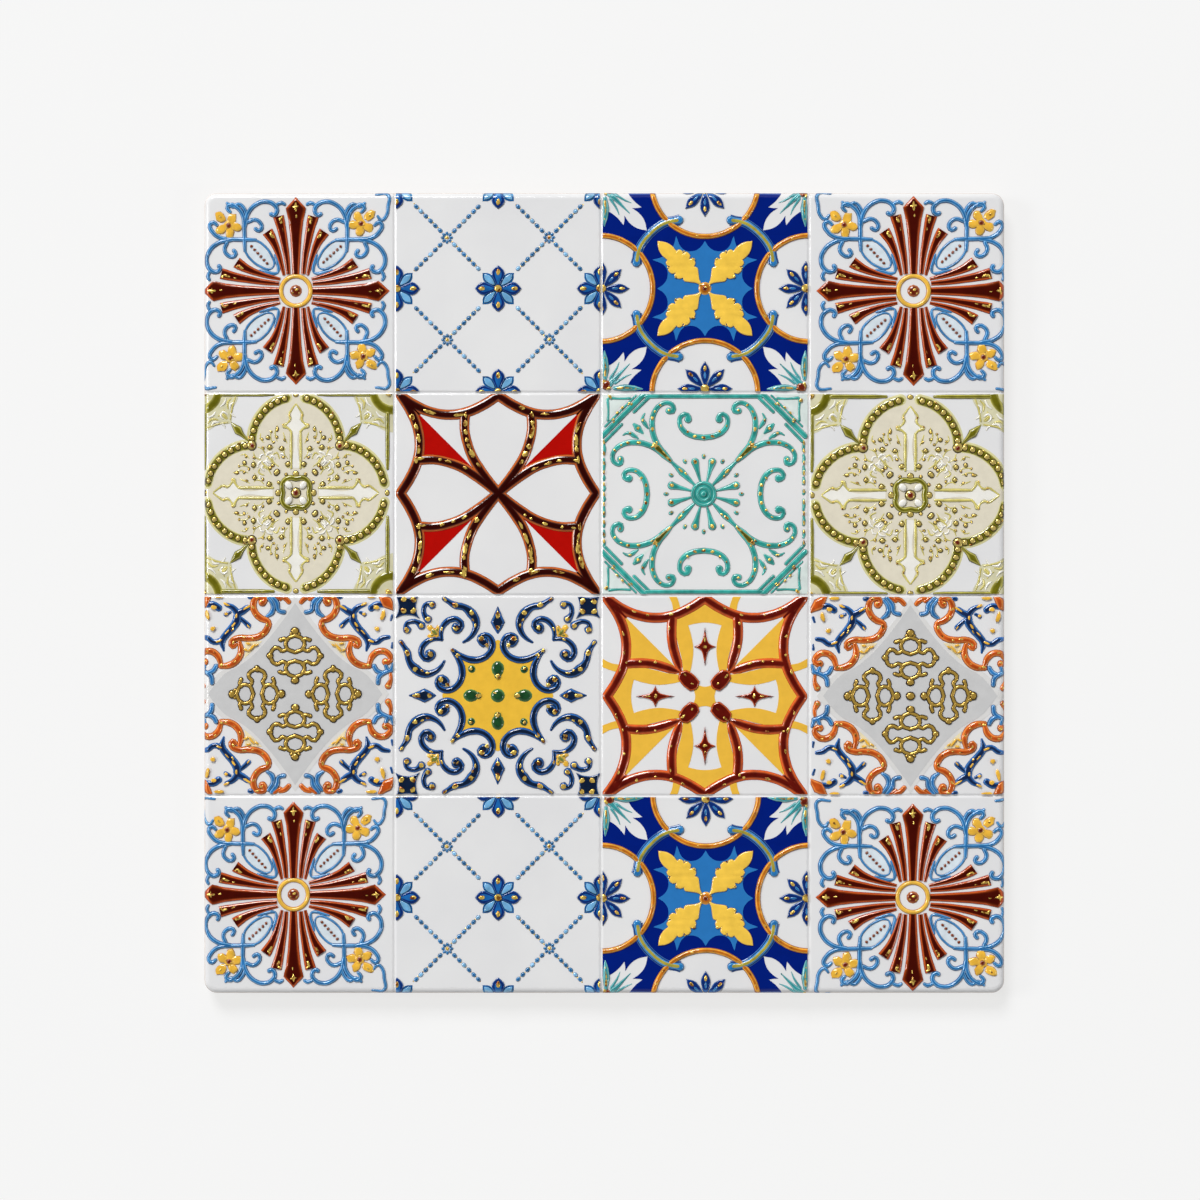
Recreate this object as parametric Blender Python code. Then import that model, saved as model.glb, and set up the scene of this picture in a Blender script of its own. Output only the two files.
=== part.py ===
"""A square relief tile: one piece of pressed and fired ceramic, its face laid out as sixteen squares.

The tile lies flat with its glazed face up. The origin is at the middle of its bedding face, +Z points out of
the glazed face, and +Y is the top of the pattern. Lengths are in metres, and the lines of a pattern are in
millimetres from the pattern's centre.
"""

import math

import bmesh
import bpy
from mathutils import Matrix, Vector

MM = 0.001

# Body of the tile
TILE_SIDE = 200 * MM
FACE_HEIGHT = 7.3 * MM
RELIEF_HEIGHT = 0.7 * MM
CORNER_RADIUS = 3.2 * MM
FACE_EDGE_ROUND = 1.4 * MM
FOOT_CHAMFER = 0.5 * MM
CORNER_STEPS = 6
FACE_EDGE_STEPS = 4

# Joints pressed into the face, which part it into four columns and four rows
JOINTS_X = (-52.4 * MM, -0.8 * MM, 51.1 * MM)
JOINTS_Y = (-50.6 * MM, -0.6 * MM, 50.0 * MM)
JOINT_WIDTH = 1.0 * MM
JOINT_DEPTH = 0.25 * MM

# Mortar keys pressed into the bedding face, with a plain land between each two
KEY_COUNT = 8
KEY_PITCH = 20 * MM
KEY_WIDTH = 8 * MM
KEY_LENGTH = 164 * MM
KEY_DEPTH = 0.6 * MM
KEY_DRAFT = 0.5 * MM

# Raised outlines of the patterns: a ridge's crest has this share of its width, and its foot lies in the body
CREST_SHARE = 0.5
RIDGE_FOOT = 0.4 * MM

# A ridge ends this far inside the tile's edge, and this far from the middle of a joint
EDGE_MARGIN = 0.8 * MM
JOINT_MARGIN = 0.5 * MM

# Where each raised pattern stands: its square as column and row from the top left, its centre, and its
# scale in X and Y
CROSS_PLACES = (
    ((0, 0), (-77.0 * MM, 75.4 * MM), (0.96, 0.98)),
    ((3, 0), (77.2 * MM, 75.4 * MM), (0.99, 1.0)),
    ((0, 3), (-77.6 * MM, -75.3 * MM), (0.95, 0.98)),
    ((3, 3), (77.0 * MM, -76.0 * MM), (0.99, 0.98)),
)
QUATREFOIL_PLACES = (
    ((0, 1), (-76.7 * MM, 24.9 * MM), (0.92, 0.98)),
    ((3, 1), (76.7 * MM, 24.3 * MM), (1.0, 1.0)),
)
STAR_PLACES = (
    ((1, 1), (-26.5 * MM, 24.7 * MM), (1.0, 1.0)),
    ((2, 2), (25.2 * MM, -25.6 * MM), (0.98, 0.94)),
)
COBALT_PLACES = (
    ((2, 0), (25.2 * MM, 75.6 * MM), (1.0, 1.0)),
    ((2, 3), (25.4 * MM, -76.0 * MM), (1.0, 1.0)),
)


def clear_scene():
    for obj in list(bpy.data.objects):
        bpy.data.objects.remove(obj, do_unlink=True)


def glaze_white():
    """White glaze over a pale fired body."""
    material = bpy.data.materials.new("white_glaze")
    material.use_nodes = True
    shader = material.node_tree.nodes["Principled BSDF"]
    shader.inputs["Base Color"].default_value = (0.77, 0.77, 0.76, 1.0)
    shader.inputs["Roughness"].default_value = 0.15
    shader.inputs["Metallic"].default_value = 0.0
    return material


def object_from(mesh_name, bm):
    mesh = bpy.data.meshes.new(mesh_name)
    bm.to_mesh(mesh)
    bm.free()
    obj = bpy.data.objects.new(mesh_name, mesh)
    bpy.context.scene.collection.objects.link(obj)
    return obj


def helper(obj, collection):
    """A cutter or a shape to be joined: it isn't part of the model by itself."""
    bpy.context.scene.collection.objects.unlink(obj)
    collection.objects.link(obj)
    obj.hide_render = True
    obj.display_type = "WIRE"
    return obj


def edges_where(bm, test):
    return [e for e in bm.edges if test(e.verts[0].co, e.verts[1].co)]


def tile_body():
    """The slab: a block with round corners, a soft edge round the glazed face and a chamfered foot."""
    bm = bmesh.new()
    size = Matrix.Diagonal((TILE_SIDE, TILE_SIDE, FACE_HEIGHT, 1.0))
    bmesh.ops.create_cube(bm, size=1.0, matrix=Matrix.Translation((0, 0, FACE_HEIGHT / 2)) @ size)
    upright = edges_where(bm, lambda a, b: abs(a.z - b.z) > FACE_HEIGHT / 2)
    bmesh.ops.bevel(
        bm, geom=upright, offset=CORNER_RADIUS, segments=CORNER_STEPS, profile=0.5, affect="EDGES"
    )
    top = edges_where(bm, lambda a, b: min(a.z, b.z) > FACE_HEIGHT * 0.99)
    bmesh.ops.bevel(
        bm, geom=top, offset=FACE_EDGE_ROUND, segments=FACE_EDGE_STEPS, profile=0.5, affect="EDGES"
    )
    foot = edges_where(bm, lambda a, b: max(a.z, b.z) < FACE_HEIGHT * 0.01)
    bmesh.ops.bevel(bm, geom=foot, offset=FOOT_CHAMFER, segments=1, profile=0.5, affect="EDGES")
    return object_from("tile", bm)


def bar(name, section, length, turn, centre):
    """A long straight bar: a closed outline in X and Z, run along Y and then turned about Z."""
    bm = bmesh.new()
    ends = []
    for y in (-length / 2, length / 2):
        ends.append([bm.verts.new((x, y, z)) for x, z in section])
    near, far = ends
    bm.faces.new(near)
    bm.faces.new(far[::-1])
    for i in range(len(section)):
        j = (i + 1) % len(section)
        bm.faces.new((near[j], near[i], far[i], far[j]))
    bmesh.ops.recalc_face_normals(bm, faces=bm.faces)
    bm.transform(Matrix.Translation(Vector(centre)) @ Matrix.Rotation(turn, 4, "Z"))
    return object_from(name, bm)


def joint_cutters(cutters):
    """Shallow V grooves across the face, one for each joint line."""
    above = FACE_HEIGHT + JOINT_DEPTH
    bottom = FACE_HEIGHT - JOINT_DEPTH
    section = [(-JOINT_WIDTH, above), (0.0, bottom), (JOINT_WIDTH, above)]
    length = TILE_SIDE * 1.2
    for i, x in enumerate(JOINTS_X):
        helper(bar(f"joint_x_{i}", section, length, 0.0, (x, 0, 0)), cutters)
    for i, y in enumerate(JOINTS_Y):
        helper(bar(f"joint_y_{i}", section, length, math.pi / 2, (0, y, 0)), cutters)


def key_cutters(cutters):
    """Shallow channels in the bedding face for the mortar, stopped short of the tile's edges."""
    half = KEY_WIDTH / 2
    roof = half - KEY_DRAFT
    section = [(-half, -KEY_DEPTH), (-half, 0.0), (-roof, KEY_DEPTH)]
    section += [(roof, KEY_DEPTH), (half, 0.0), (half, -KEY_DEPTH)]
    first = -(KEY_COUNT - 1) / 2 * KEY_PITCH
    for i in range(KEY_COUNT):
        helper(bar(f"key_{i}", section, KEY_LENGTH, 0.0, (first + i * KEY_PITCH, 0, 0)), cutters)


def smooth_line(a, b, c, steps):
    """Points along the curve that leaves a, is drawn towards b and ends at c."""
    points = []
    for i in range(steps + 1):
        t = i / steps
        points.append(tuple((1 - t) ** 2 * p + 2 * t * (1 - t) * q + t * t * r for p, q, r in zip(a, b, c)))
    return points


def arc(centre, radius, start, end, steps):
    """Points along an arc, from start to end degrees."""
    points = []
    for i in range(steps + 1):
        angle = math.radians(start + (end - start) * i / steps)
        points.append((centre[0] + radius * math.cos(angle), centre[1] + radius * math.sin(angle)))
    return points


def turned(points, quarter):
    """The points after some quarter turns about the pattern's centre."""
    for _ in range(quarter):
        points = [(-y, x) for x, y in points]
    return points


def mirrored(points):
    return [(-x, y) for x, y in points]


def unchanged(points):
    return points


# A line and its mirror image, at each of the four quarter turns
SIDES = (("a", unchanged), ("b", mirrored))
EIGHTHS = [(quarter, side, flip) for quarter in range(4) for side, flip in SIDES]


def square_bounds(column, row):
    """Lowest and highest corner of the part of a patchwork square that a ridge may stand on."""
    rim = TILE_SIDE / 2 - EDGE_MARGIN
    west = JOINTS_X[column - 1] + JOINT_MARGIN if column > 0 else -rim
    east = JOINTS_X[column] - JOINT_MARGIN if column < len(JOINTS_X) else rim
    row_up = len(JOINTS_Y) - row
    south = JOINTS_Y[row_up - 1] + JOINT_MARGIN if row_up > 0 else -rim
    north = JOINTS_Y[row_up] - JOINT_MARGIN if row_up < len(JOINTS_Y) else rim
    return (west, south), (east, north)


def trim_to_square(bm, low, high):
    """Cuts off what lies outside the square, and closes the cuts."""
    cuts = (((-1, 0, 0), low), ((0, -1, 0), low), ((1, 0, 0), high), ((0, 1, 0), high))
    for outward, corner in cuts:
        everything = [*bm.verts, *bm.edges, *bm.faces]
        cut = bmesh.ops.bisect_plane(
            bm, geom=everything, plane_co=(*corner, 0), plane_no=outward, clear_outer=True
        )
        open_edges = [e for e in cut["geom_cut"] if isinstance(e, bmesh.types.BMEdge)]
        if open_edges:
            bmesh.ops.holes_fill(bm, edges=open_edges)


def ridge(name, points, widths, place, ridges, closed=False):
    """A raised line on the face, through the points, with its width at its start and at its end."""
    square, (centre_x, centre_y), (scale_x, scale_y) = place
    line = [Vector((centre_x + x * scale_x * MM, centre_y + y * scale_y * MM)) for x, y in points]
    count = len(line)
    bottom = FACE_HEIGHT - RIDGE_FOOT
    crest = FACE_HEIGHT + RELIEF_HEIGHT
    bm = bmesh.new()
    rings = []
    for i, point in enumerate(line):
        before = line[i - 1] if i or closed else line[0]
        after = line[(i + 1) % count] if i < count - 1 or closed else line[-1]
        along = (after - before).normalized()
        side = Vector((-along.y, along.x))
        share = i / (count - 1)
        half = (widths[0] + (widths[1] - widths[0]) * share) * MM / 2
        ring = [(side * half, bottom), (side * half * CREST_SHARE, crest)]
        ring += [(-side * half * CREST_SHARE, crest), (-side * half, bottom)]
        rings.append([bm.verts.new((*(point + offset), z)) for offset, z in ring])
    pairs = list(zip(rings, rings[1:] + rings[:1])) if closed else list(zip(rings, rings[1:]))
    for one, two in pairs:
        for i in range(4):
            j = (i + 1) % 4
            bm.faces.new((one[i], one[j], two[j], two[i]))
    if not closed:
        bm.faces.new(rings[0])
        bm.faces.new(rings[-1][::-1])
    trim_to_square(bm, *square_bounds(*square))
    bmesh.ops.recalc_face_normals(bm, faces=bm.faces)
    if bm.faces:
        helper(object_from(name, bm), ridges)
    else:
        bm.free()


def star_frames(ridges):
    """A scalloped eight-point frame with four petals inside it, on two of the squares."""
    middle_cusp = (0.0, 24.2)
    corner_cusp = (-23.4, 23.4)
    scallop_pull = (-12.5, 15.2)
    rib_foot = (-8.2, 19.6)
    rib_pull = (-7.4, 8.2)
    frame_width = (2.4, 2.4)
    rib_width = (2.4, 2.6)
    scallop = smooth_line(middle_cusp, scallop_pull, corner_cusp, 6)
    rib = smooth_line(rib_foot, rib_pull, (0.0, 0.0), 6)
    for n, place in enumerate(STAR_PLACES):
        for quarter, side, flip in EIGHTHS:
            name = f"{n}{quarter}{side}"
            ridge(f"star_scallop_{name}", turned(flip(scallop), quarter), frame_width, place, ridges)
            ridge(f"star_rib_{name}", turned(flip(rib), quarter), rib_width, place, ridges)


def crosses(ridges):
    """A cross of twenty flared fingers round a ring and a boss, on four of the squares."""
    ring_radius = 3.9
    ring_width = (1.0, 1.0)
    middle_width = (1.5, 4.8)
    tip_width = (4.8, 0.6)
    inner_width = (1.0, 2.6)
    outer_width = (0.9, 2.6)
    middle = [(0.0, 3.6), (0.0, 17.0), (0.0, 21.0)]
    tip = [(0.0, 21.0), (0.0, 23.8)]
    inner = smooth_line((-1.5, 3.8), (-1.7, 12.5), (-4.7, 18.6), 4)
    outer = smooth_line((-2.6, 3.2), (-3.2, 9.6), (-7.2, 14.4), 4)
    ring = arc((0.0, 0.0), ring_radius, 0.0, 345.0, 23)
    for n, place in enumerate(CROSS_PLACES):
        ridge(f"ring_{n}", ring, ring_width, place, ridges, closed=True)
        for quarter in range(4):
            ridge(f"finger_middle_{n}{quarter}", turned(middle, quarter), middle_width, place, ridges)
            ridge(f"finger_tip_{n}{quarter}", turned(tip, quarter), tip_width, place, ridges)
        for quarter, side, flip in EIGHTHS:
            name = f"{n}{quarter}{side}"
            ridge(f"finger_inner_{name}", turned(flip(inner), quarter), inner_width, place, ridges)
            ridge(f"finger_outer_{name}", turned(flip(outer), quarter), outer_width, place, ridges)


def quatrefoils(ridges):
    """A four-lobed band round each of the two quatrefoil squares."""
    band_width = (1.9, 1.9)
    lobe_radius = 12.0
    lobe = arc((0.0, lobe_radius), lobe_radius, 184.0, -4.0, 10)
    for n, place in enumerate(QUATREFOIL_PLACES):
        for quarter in range(4):
            ridge(f"lobe_{n}{quarter}", turned(lobe, quarter), band_width, place, ridges)


def cobalt_arcs(ridges):
    """Four arcs that bound the dark field of each cobalt square, with a clasp over each two."""
    bound_radius = 13.1
    clasp_radius = 11.2
    bound_width = (1.2, 1.2)
    clasp_width = (2.0, 2.0)
    bound = arc((0.0, 26.0), bound_radius, 0.0, -180.0, 12)
    clasp = arc((-6.0, 5.6), clasp_radius, 82.0, 188.0, 6)
    for n, place in enumerate(COBALT_PLACES):
        for quarter in range(4):
            ridge(f"bound_{n}{quarter}", turned(bound, quarter), bound_width, place, ridges)
            ridge(f"clasp_{n}{quarter}", turned(clasp, quarter), clasp_width, place, ridges)


def join_or_cut(tile, name, operation, collection):
    modifier = tile.modifiers.new(name, "BOOLEAN")
    modifier.operation = operation
    modifier.operand_type = "COLLECTION"
    modifier.collection = collection
    modifier.solver = "EXACT"


def helper_collection(name):
    collection = bpy.data.collections.new(name)
    bpy.context.scene.collection.children.link(collection)
    return collection


def main():
    clear_scene()
    cutters = helper_collection("cutters")
    ridges = helper_collection("ridges")
    tile = tile_body()
    tile.data.materials.append(glaze_white())
    joint_cutters(cutters)
    key_cutters(cutters)
    star_frames(ridges)
    crosses(ridges)
    quatrefoils(ridges)
    cobalt_arcs(ridges)
    join_or_cut(tile, "joints_and_keys", "DIFFERENCE", cutters)
    join_or_cut(tile, "relief", "UNION", ridges)


main()
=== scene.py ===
import math
import random

import bmesh
import bpy
from mathutils import Matrix, Vector


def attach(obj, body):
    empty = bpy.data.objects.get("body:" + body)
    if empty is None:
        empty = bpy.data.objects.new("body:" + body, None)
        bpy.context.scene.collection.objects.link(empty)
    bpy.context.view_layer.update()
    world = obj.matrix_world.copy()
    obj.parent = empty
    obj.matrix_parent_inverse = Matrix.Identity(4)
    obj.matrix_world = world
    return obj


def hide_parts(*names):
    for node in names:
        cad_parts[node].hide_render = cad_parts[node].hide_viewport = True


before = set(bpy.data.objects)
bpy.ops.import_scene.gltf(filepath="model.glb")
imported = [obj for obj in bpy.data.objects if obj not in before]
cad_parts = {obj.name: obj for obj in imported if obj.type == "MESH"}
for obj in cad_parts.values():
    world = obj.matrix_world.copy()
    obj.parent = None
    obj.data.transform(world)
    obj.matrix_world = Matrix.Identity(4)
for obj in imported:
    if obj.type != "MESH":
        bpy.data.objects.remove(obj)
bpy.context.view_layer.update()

bpy.context.scene.view_settings.view_transform = "Standard"


# The tile's body
# One slab of pressed clay, fired once, dipped face down in a white tin glaze and fired again. The glaze runs over
# the round edge and stops short of the foot, so the lower sides and the back are bare biscuit. The press die left
# the sixteen squares' joints in the face and the mortar keys in the back.
MM = 0.001
tile_side = 200 * MM
face_height = 7.3 * MM
corner_radius = 3.2 * MM
edge_radius = 1.5 * MM
foot_chamfer = 0.5 * MM
joints_x = [-52.4 * MM, -0.8 * MM, 51.1 * MM]
joints_y = [-50.6 * MM, -0.6 * MM, 50.0 * MM]
joint_half = 0.55 * MM
joint_depth = 0.22 * MM
joint_cuts = (-1.4, -1.0, -0.6, -0.3, 0.0, 0.3, 0.6, 1.0, 1.4)
face_inset = 0.3 * MM
key_count, key_pitch, key_width, key_length, key_depth = 8, 20 * MM, 8 * MM, 164 * MM, 0.6 * MM


def joint_dip(x, y):
    """How far the face lies lower in the joints between the squares."""
    nearest = min([abs(x - at) for at in joints_x] + [abs(y - at) for at in joints_y])
    if nearest > joint_half:
        return 0.0
    return joint_depth * 0.5 * (1 + math.cos(math.pi * nearest / joint_half))


def edge_dip(x, y):
    """How far the face lies lower where it rounds off at the tile's edge and corners."""
    in_x = tile_side / 2 - abs(x)
    in_y = tile_side / 2 - abs(y)
    inward = min(in_x, in_y)
    if max(in_x, in_y) < corner_radius:
        inward = corner_radius - math.hypot(corner_radius - in_x, corner_radius - in_y)
    if inward > edge_radius:
        return 0.0
    left = edge_radius - max(inward, 0.0)
    return edge_radius - math.sqrt(edge_radius ** 2 - left ** 2)


def select_only(mesh_object, kind, test):
    """In edit mode, selects the vertices, edges or faces whose corners all pass the test."""
    bpy.ops.mesh.select_mode(type=kind)
    bpy.ops.mesh.select_all(action="DESELECT")
    bm = bmesh.from_edit_mesh(mesh_object.data)
    members = {"VERT": bm.verts, "EDGE": bm.edges, "FACE": bm.faces}[kind]
    for member in members:
        corners = [member] if kind == "VERT" else member.verts
        if all(test(v.co) for v in corners):
            member.select_set(True)
    bm.select_flush_mode()
    bmesh.update_edit_mesh(mesh_object.data)


def select_alone(mesh_object):
    """Selects one object, makes it the active one and nothing else."""
    bpy.ops.object.select_all(action="DESELECT")
    mesh_object.select_set(True)
    bpy.context.view_layer.objects.active = mesh_object


def on_face(co):
    """Whether a point lies on the face or its rounded edge."""
    return co.z > face_height - 1.2 * edge_radius


bpy.ops.object.select_all(action="DESELECT")
bpy.ops.mesh.primitive_cube_add(size=1, location=(0, 0, face_height / 2), scale=(tile_side, tile_side, face_height))
body = bpy.context.object
body.name = "tile_body"
bpy.ops.object.transform_apply(location=True, rotation=False, scale=True)
bpy.ops.object.mode_set(mode="EDIT")
bpy.ops.mesh.select_mode(type="EDGE")
bpy.ops.mesh.select_all(action="DESELECT")
slab = bmesh.from_edit_mesh(body.data)
for edge in slab.edges:
    edge.select_set(abs(edge.verts[0].co.z - edge.verts[1].co.z) > face_height / 2)
bmesh.update_edit_mesh(body.data)
bpy.ops.mesh.bevel(offset=corner_radius, segments=8, profile=0.5, affect="EDGES")
select_only(body, "EDGE", lambda co: co.z > face_height * 0.99)
bpy.ops.mesh.bevel(offset=edge_radius, segments=6, profile=0.5, affect="EDGES")
select_only(body, "EDGE", lambda co: co.z < face_height * 0.01)
bpy.ops.mesh.bevel(offset=foot_chamfer, segments=2, profile=0.5, affect="EDGES")
select_only(body, "FACE", lambda co: co.z > face_height * 0.999)
bpy.ops.mesh.inset(thickness=face_inset)
# Edges across the face along each joint, at shares of its half width, for the joint to dip between them
for at in joint_cuts:
    for joint in joints_x:
        select_only(body, "FACE", on_face)
        bpy.ops.mesh.bisect(plane_co=(joint + at * joint_half, 0, 0), plane_no=(1, 0, 0))
    for joint in joints_y:
        select_only(body, "FACE", on_face)
        bpy.ops.mesh.bisect(plane_co=(0, joint + at * joint_half, 0), plane_no=(0, 1, 0))
bpy.ops.object.mode_set(mode="OBJECT")
for vertex in body.data.vertices:
    if vertex.co.z > face_height - 1.01 * edge_radius:
        vertex.co.z -= joint_dip(vertex.co.x, vertex.co.y)

for i in range(key_count):
    place = ((i - (key_count - 1) / 2) * key_pitch, 0, 0)
    bpy.ops.mesh.primitive_cube_add(size=1, location=place, scale=(key_width, key_length, 2 * key_depth))
    key = bpy.context.object
    cut = body.modifiers.new("mortar_key", "BOOLEAN")
    cut.operation = "DIFFERENCE"
    cut.object = key
    select_alone(body)
    bpy.ops.object.modifier_apply(modifier=cut.name)
    bpy.data.objects.remove(key)
bpy.ops.object.shade_smooth_by_angle(angle=math.radians(40))


def linear(hex_colour, alpha=1.0):
    """An sRGB hex colour as the linear values that a shader takes."""
    out = []
    for i in (1, 3, 5):
        share = int(hex_colour[i : i + 2], 16) / 255
        out.append(share / 12.92 if share <= 0.04045 else ((share + 0.055) / 1.055) ** 2.4)
    return (*out, alpha)


def add_node(material, kind, sockets=(), **settings):
    """Adds a shader node with its settings. Each socket gets a value, or a link where it is given a socket."""
    tree = material.node_tree
    made = tree.nodes.new("ShaderNode" + kind)
    for name, value in settings.items():
        setattr(made, name, value)
    for name, value in dict(sockets).items():
        if isinstance(value, bpy.types.NodeSocket):
            tree.links.new(value, made.inputs[name])
        else:
            made.inputs[name].default_value = value
    return made


def new_finish(name):
    """An empty node material and its Principled shader."""
    material = bpy.data.materials.new(name)
    material.use_nodes = True
    return material, material.node_tree.nodes["Principled BSDF"]


# Tin glaze: opaque white, glossy, slightly uneven where it pooled. It thins to a warm tone where it turns over the
# edge, and ends in a ragged line above the bare cream biscuit of the sides and back.
white_glaze, shader = new_finish("white_tin_glaze_over_biscuit")
place = add_node(white_glaze, "TexCoord")
height = add_node(white_glaze, "SeparateXYZ", {"Vector": place.outputs["Object"]})
cloud = add_node(white_glaze, "TexNoise", {"Vector": place.outputs["Object"], "Scale": 45.0, "Detail": 3.0})
glaze_tone = add_node(white_glaze, "ValToRGB", {"Fac": cloud.outputs["Fac"]})
glaze_tone.color_ramp.elements[0].position = 0.35
glaze_tone.color_ramp.elements[0].color = linear("#dfdfe0")
glaze_tone.color_ramp.elements[1].position = 0.65
glaze_tone.color_ramp.elements[1].color = linear("#e4e4e4")
grit = add_node(white_glaze, "TexNoise", {"Vector": place.outputs["Object"], "Scale": 1400.0, "Detail": 4.0})
biscuit_tone = add_node(white_glaze, "ValToRGB", {"Fac": grit.outputs["Fac"]})
biscuit_tone.color_ramp.elements[0].position = 0.3
biscuit_tone.color_ramp.elements[0].color = linear("#b59c84")
biscuit_tone.color_ramp.elements[1].position = 0.6
biscuit_tone.color_ramp.elements[1].color = linear("#d8c3aa")
ragged = add_node(white_glaze, "TexNoise", {"Vector": place.outputs["Object"], "Scale": 90.0, "Detail": 2.0})
line_height = add_node(
    white_glaze, "Math", {0: ragged.outputs["Fac"], 1: 1.6 * MM, 2: height.outputs["Z"]}, operation="MULTIPLY_ADD"
)
glazed = add_node(
    white_glaze, "MapRange", {"Value": line_height.outputs[0], "From Min": 3.2 * MM, "From Max": 3.5 * MM}
)
thin = add_node(
    white_glaze, "MapRange", {"Value": height.outputs["Z"], "From Min": 6.0 * MM, "From Max": 6.9 * MM}
)
# Sockets 6 and 7 of a Mix node are its two colours, and its output 2 is the mixed one
edge_tone = add_node(
    white_glaze, "Mix", {"Factor": thin.outputs[0], 6: linear("#cdb9aa"), 7: glaze_tone.outputs[0]}, data_type="RGBA"
)
coat = add_node(
    white_glaze, "Mix", {"Factor": glazed.outputs[0], 6: biscuit_tone.outputs[0], 7: edge_tone.outputs[2]},
    data_type="RGBA",
)
gloss = add_node(white_glaze, "MapRange", {"Value": glazed.outputs[0], "To Min": 0.75, "To Max": 0.12})
ripple = add_node(white_glaze, "TexNoise", {"Vector": place.outputs["Object"], "Scale": 160.0, "Detail": 1.0})
uneven = add_node(white_glaze, "Bump", {"Height": ripple.outputs["Fac"], "Strength": 0.12, "Distance": 0.4 * MM})
for socket, source in (
    ("Base Color", coat.outputs[2]), ("Roughness", gloss.outputs[0]), ("Normal", uneven.outputs[0])
):
    white_glaze.node_tree.links.new(source, shader.inputs[socket])
shader.inputs["IOR"].default_value = 1.5
body.data.materials.append(white_glaze)
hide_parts("tile")
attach(body, "root")


# The squares with a flared cross
# Each coloured line is glaze squeezed from a fine nozzle, which stands up as a round bead, and each coloured field is
# glaze laid flat inside its lines. Gold lustre is touched on last. The same cross stands on the four corner squares.
handle_share, sample_step = 0.39, 0.75
weld_distance = 0.004 * MM


def smooth_run(points):
    """A smooth line through the points, with samples close together. Every number of a point is carried along."""
    flat = [Vector(p[:2]) for p in points]
    tangents = []
    for i, here in enumerate(flat):
        before = (here - flat[i - 1]).normalized() if i else Vector((0, 0))
        after = (flat[i + 1] - here).normalized() if i < len(flat) - 1 else Vector((0, 0))
        tangents.append((before + after).normalized())
    samples = []
    for i in range(len(points) - 1):
        a, b = flat[i], flat[i + 1]
        reach = (b - a).length * handle_share
        a_out, b_in = a + tangents[i] * reach, b - tangents[i + 1] * reach
        steps = max(2, math.ceil((b - a).length / sample_step))
        for k in range(steps + (i == len(points) - 2)):
            t = k / steps
            at = a * (1 - t) ** 3 + 3 * a_out * t * (1 - t) ** 2 + 3 * b_in * t * t * (1 - t) + b * t ** 3
            rest = [p * (1 - t) + q * t for p, q in zip(points[i][2:], points[i + 1][2:])]
            samples.append((at.x, at.y, *rest))
    return samples


def mirror_x(points):
    return [(-p[0], *p[1:]) for p in points]


def mirror_y(points):
    return [(p[0], -p[1], *p[2:]) for p in points]


def swap_xy(points):
    return [(p[1], p[0], *p[2:]) for p in points]


def turned(points, quarters):
    for _ in range(quarters):
        points = [(-p[1], p[0], *p[2:]) for p in points]
    return points


def circle(x, y, radius, width=None):
    """A round stroke, which ends where it starts."""
    points = []
    for n in range(17):
        angle = math.tau * n / 16
        spot = (x + radius * math.cos(angle), y + radius * math.sin(angle))
        points.append(spot if width is None else (*spot, width))
    return points


def four_ways(strokes):
    """Each stroke and its copies at the other three quarter turns."""
    return [turned(stroke, n) for n in range(4) for stroke in strokes]


def eight_ways(strokes):
    """Each stroke, its mirror image, and both at every quarter turn."""
    return four_ways([*strokes, *(mirror_x(stroke) for stroke in strokes)])


def both_ways(strokes):
    """Each stroke mirrored left to right, top to bottom, and both."""
    half = [*strokes, *(mirror_x(stroke) for stroke in strokes)]
    return [*half, *(mirror_y(stroke) for stroke in half)]


def copied(outline, ways):
    """Copies of an outline, which is a list of runs, by one of the ways above."""
    runs, count = ways(outline), len(outline)
    return [runs[i : i + count] for i in range(0, len(runs), count)]


def raised(shape, rise):
    """Lifts a shape, for glaze or lustre that lies on another bead."""
    shape.data.transform(Matrix.Translation((0, 0, rise * MM)))
    return shape


def levelled(shape, most):
    """Presses the crowns of a shape down towards a greatest height in mm."""
    for vertex in shape.data.vertices:
        if vertex.co.z > 0:
            vertex.co.z = most * MM * math.tanh(vertex.co.z / (most * MM))
    return shape


def lowered(shape, share):
    """Leaves a shape only a share of its height."""
    shape.data.transform(Matrix.Diagonal((1, 1, share, 1)))
    return shape


def mesh_of(curve_object):
    """Turns a curve object into a clean closed mesh in its place."""
    select_alone(curve_object)
    bpy.ops.object.convert(target="MESH")
    made = bpy.context.object
    bpy.ops.object.mode_set(mode="EDIT")
    bpy.ops.mesh.select_all(action="SELECT")
    bpy.ops.mesh.remove_doubles(threshold=weld_distance)
    bpy.ops.mesh.normals_make_consistent(inside=False)
    bpy.ops.object.mode_set(mode="OBJECT")
    return made


def link(data):
    """A new object in the scene with this data."""
    made = bpy.data.objects.new(data.name, data)
    bpy.context.scene.collection.objects.link(made)
    return made


def bead_section(name, half):
    """The section of a bead from the middle of its crown outwards: shares of its width and of its rise."""
    outline = [(-across, up) for across, up in half[::-1]] + half[1:]
    curve = bpy.data.curves.new(name, "CURVE")
    curve.dimensions = "2D"
    spline = curve.splines.new("POLY")
    spline.points.add(len(outline) - 1)
    for point, (across, up) in zip(spline.points, outline):
        point.co = (across * MM, up * MM, 0, 1)
    spline.use_cyclic_u = True
    return link(curve)


round_bead = bead_section(
    "round_bead", [(0.0, 1.0), (0.14, 0.94), (0.26, 0.79), (0.36, 0.57), (0.44, 0.32), (0.49, 0.08), (0.5, -0.15)]
)
flat_rib = bead_section("flat_rib", [(0.0, 1.0), (0.2, 0.92), (0.36, 0.52), (0.46, 0.16), (0.5, -0.2)])
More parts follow.
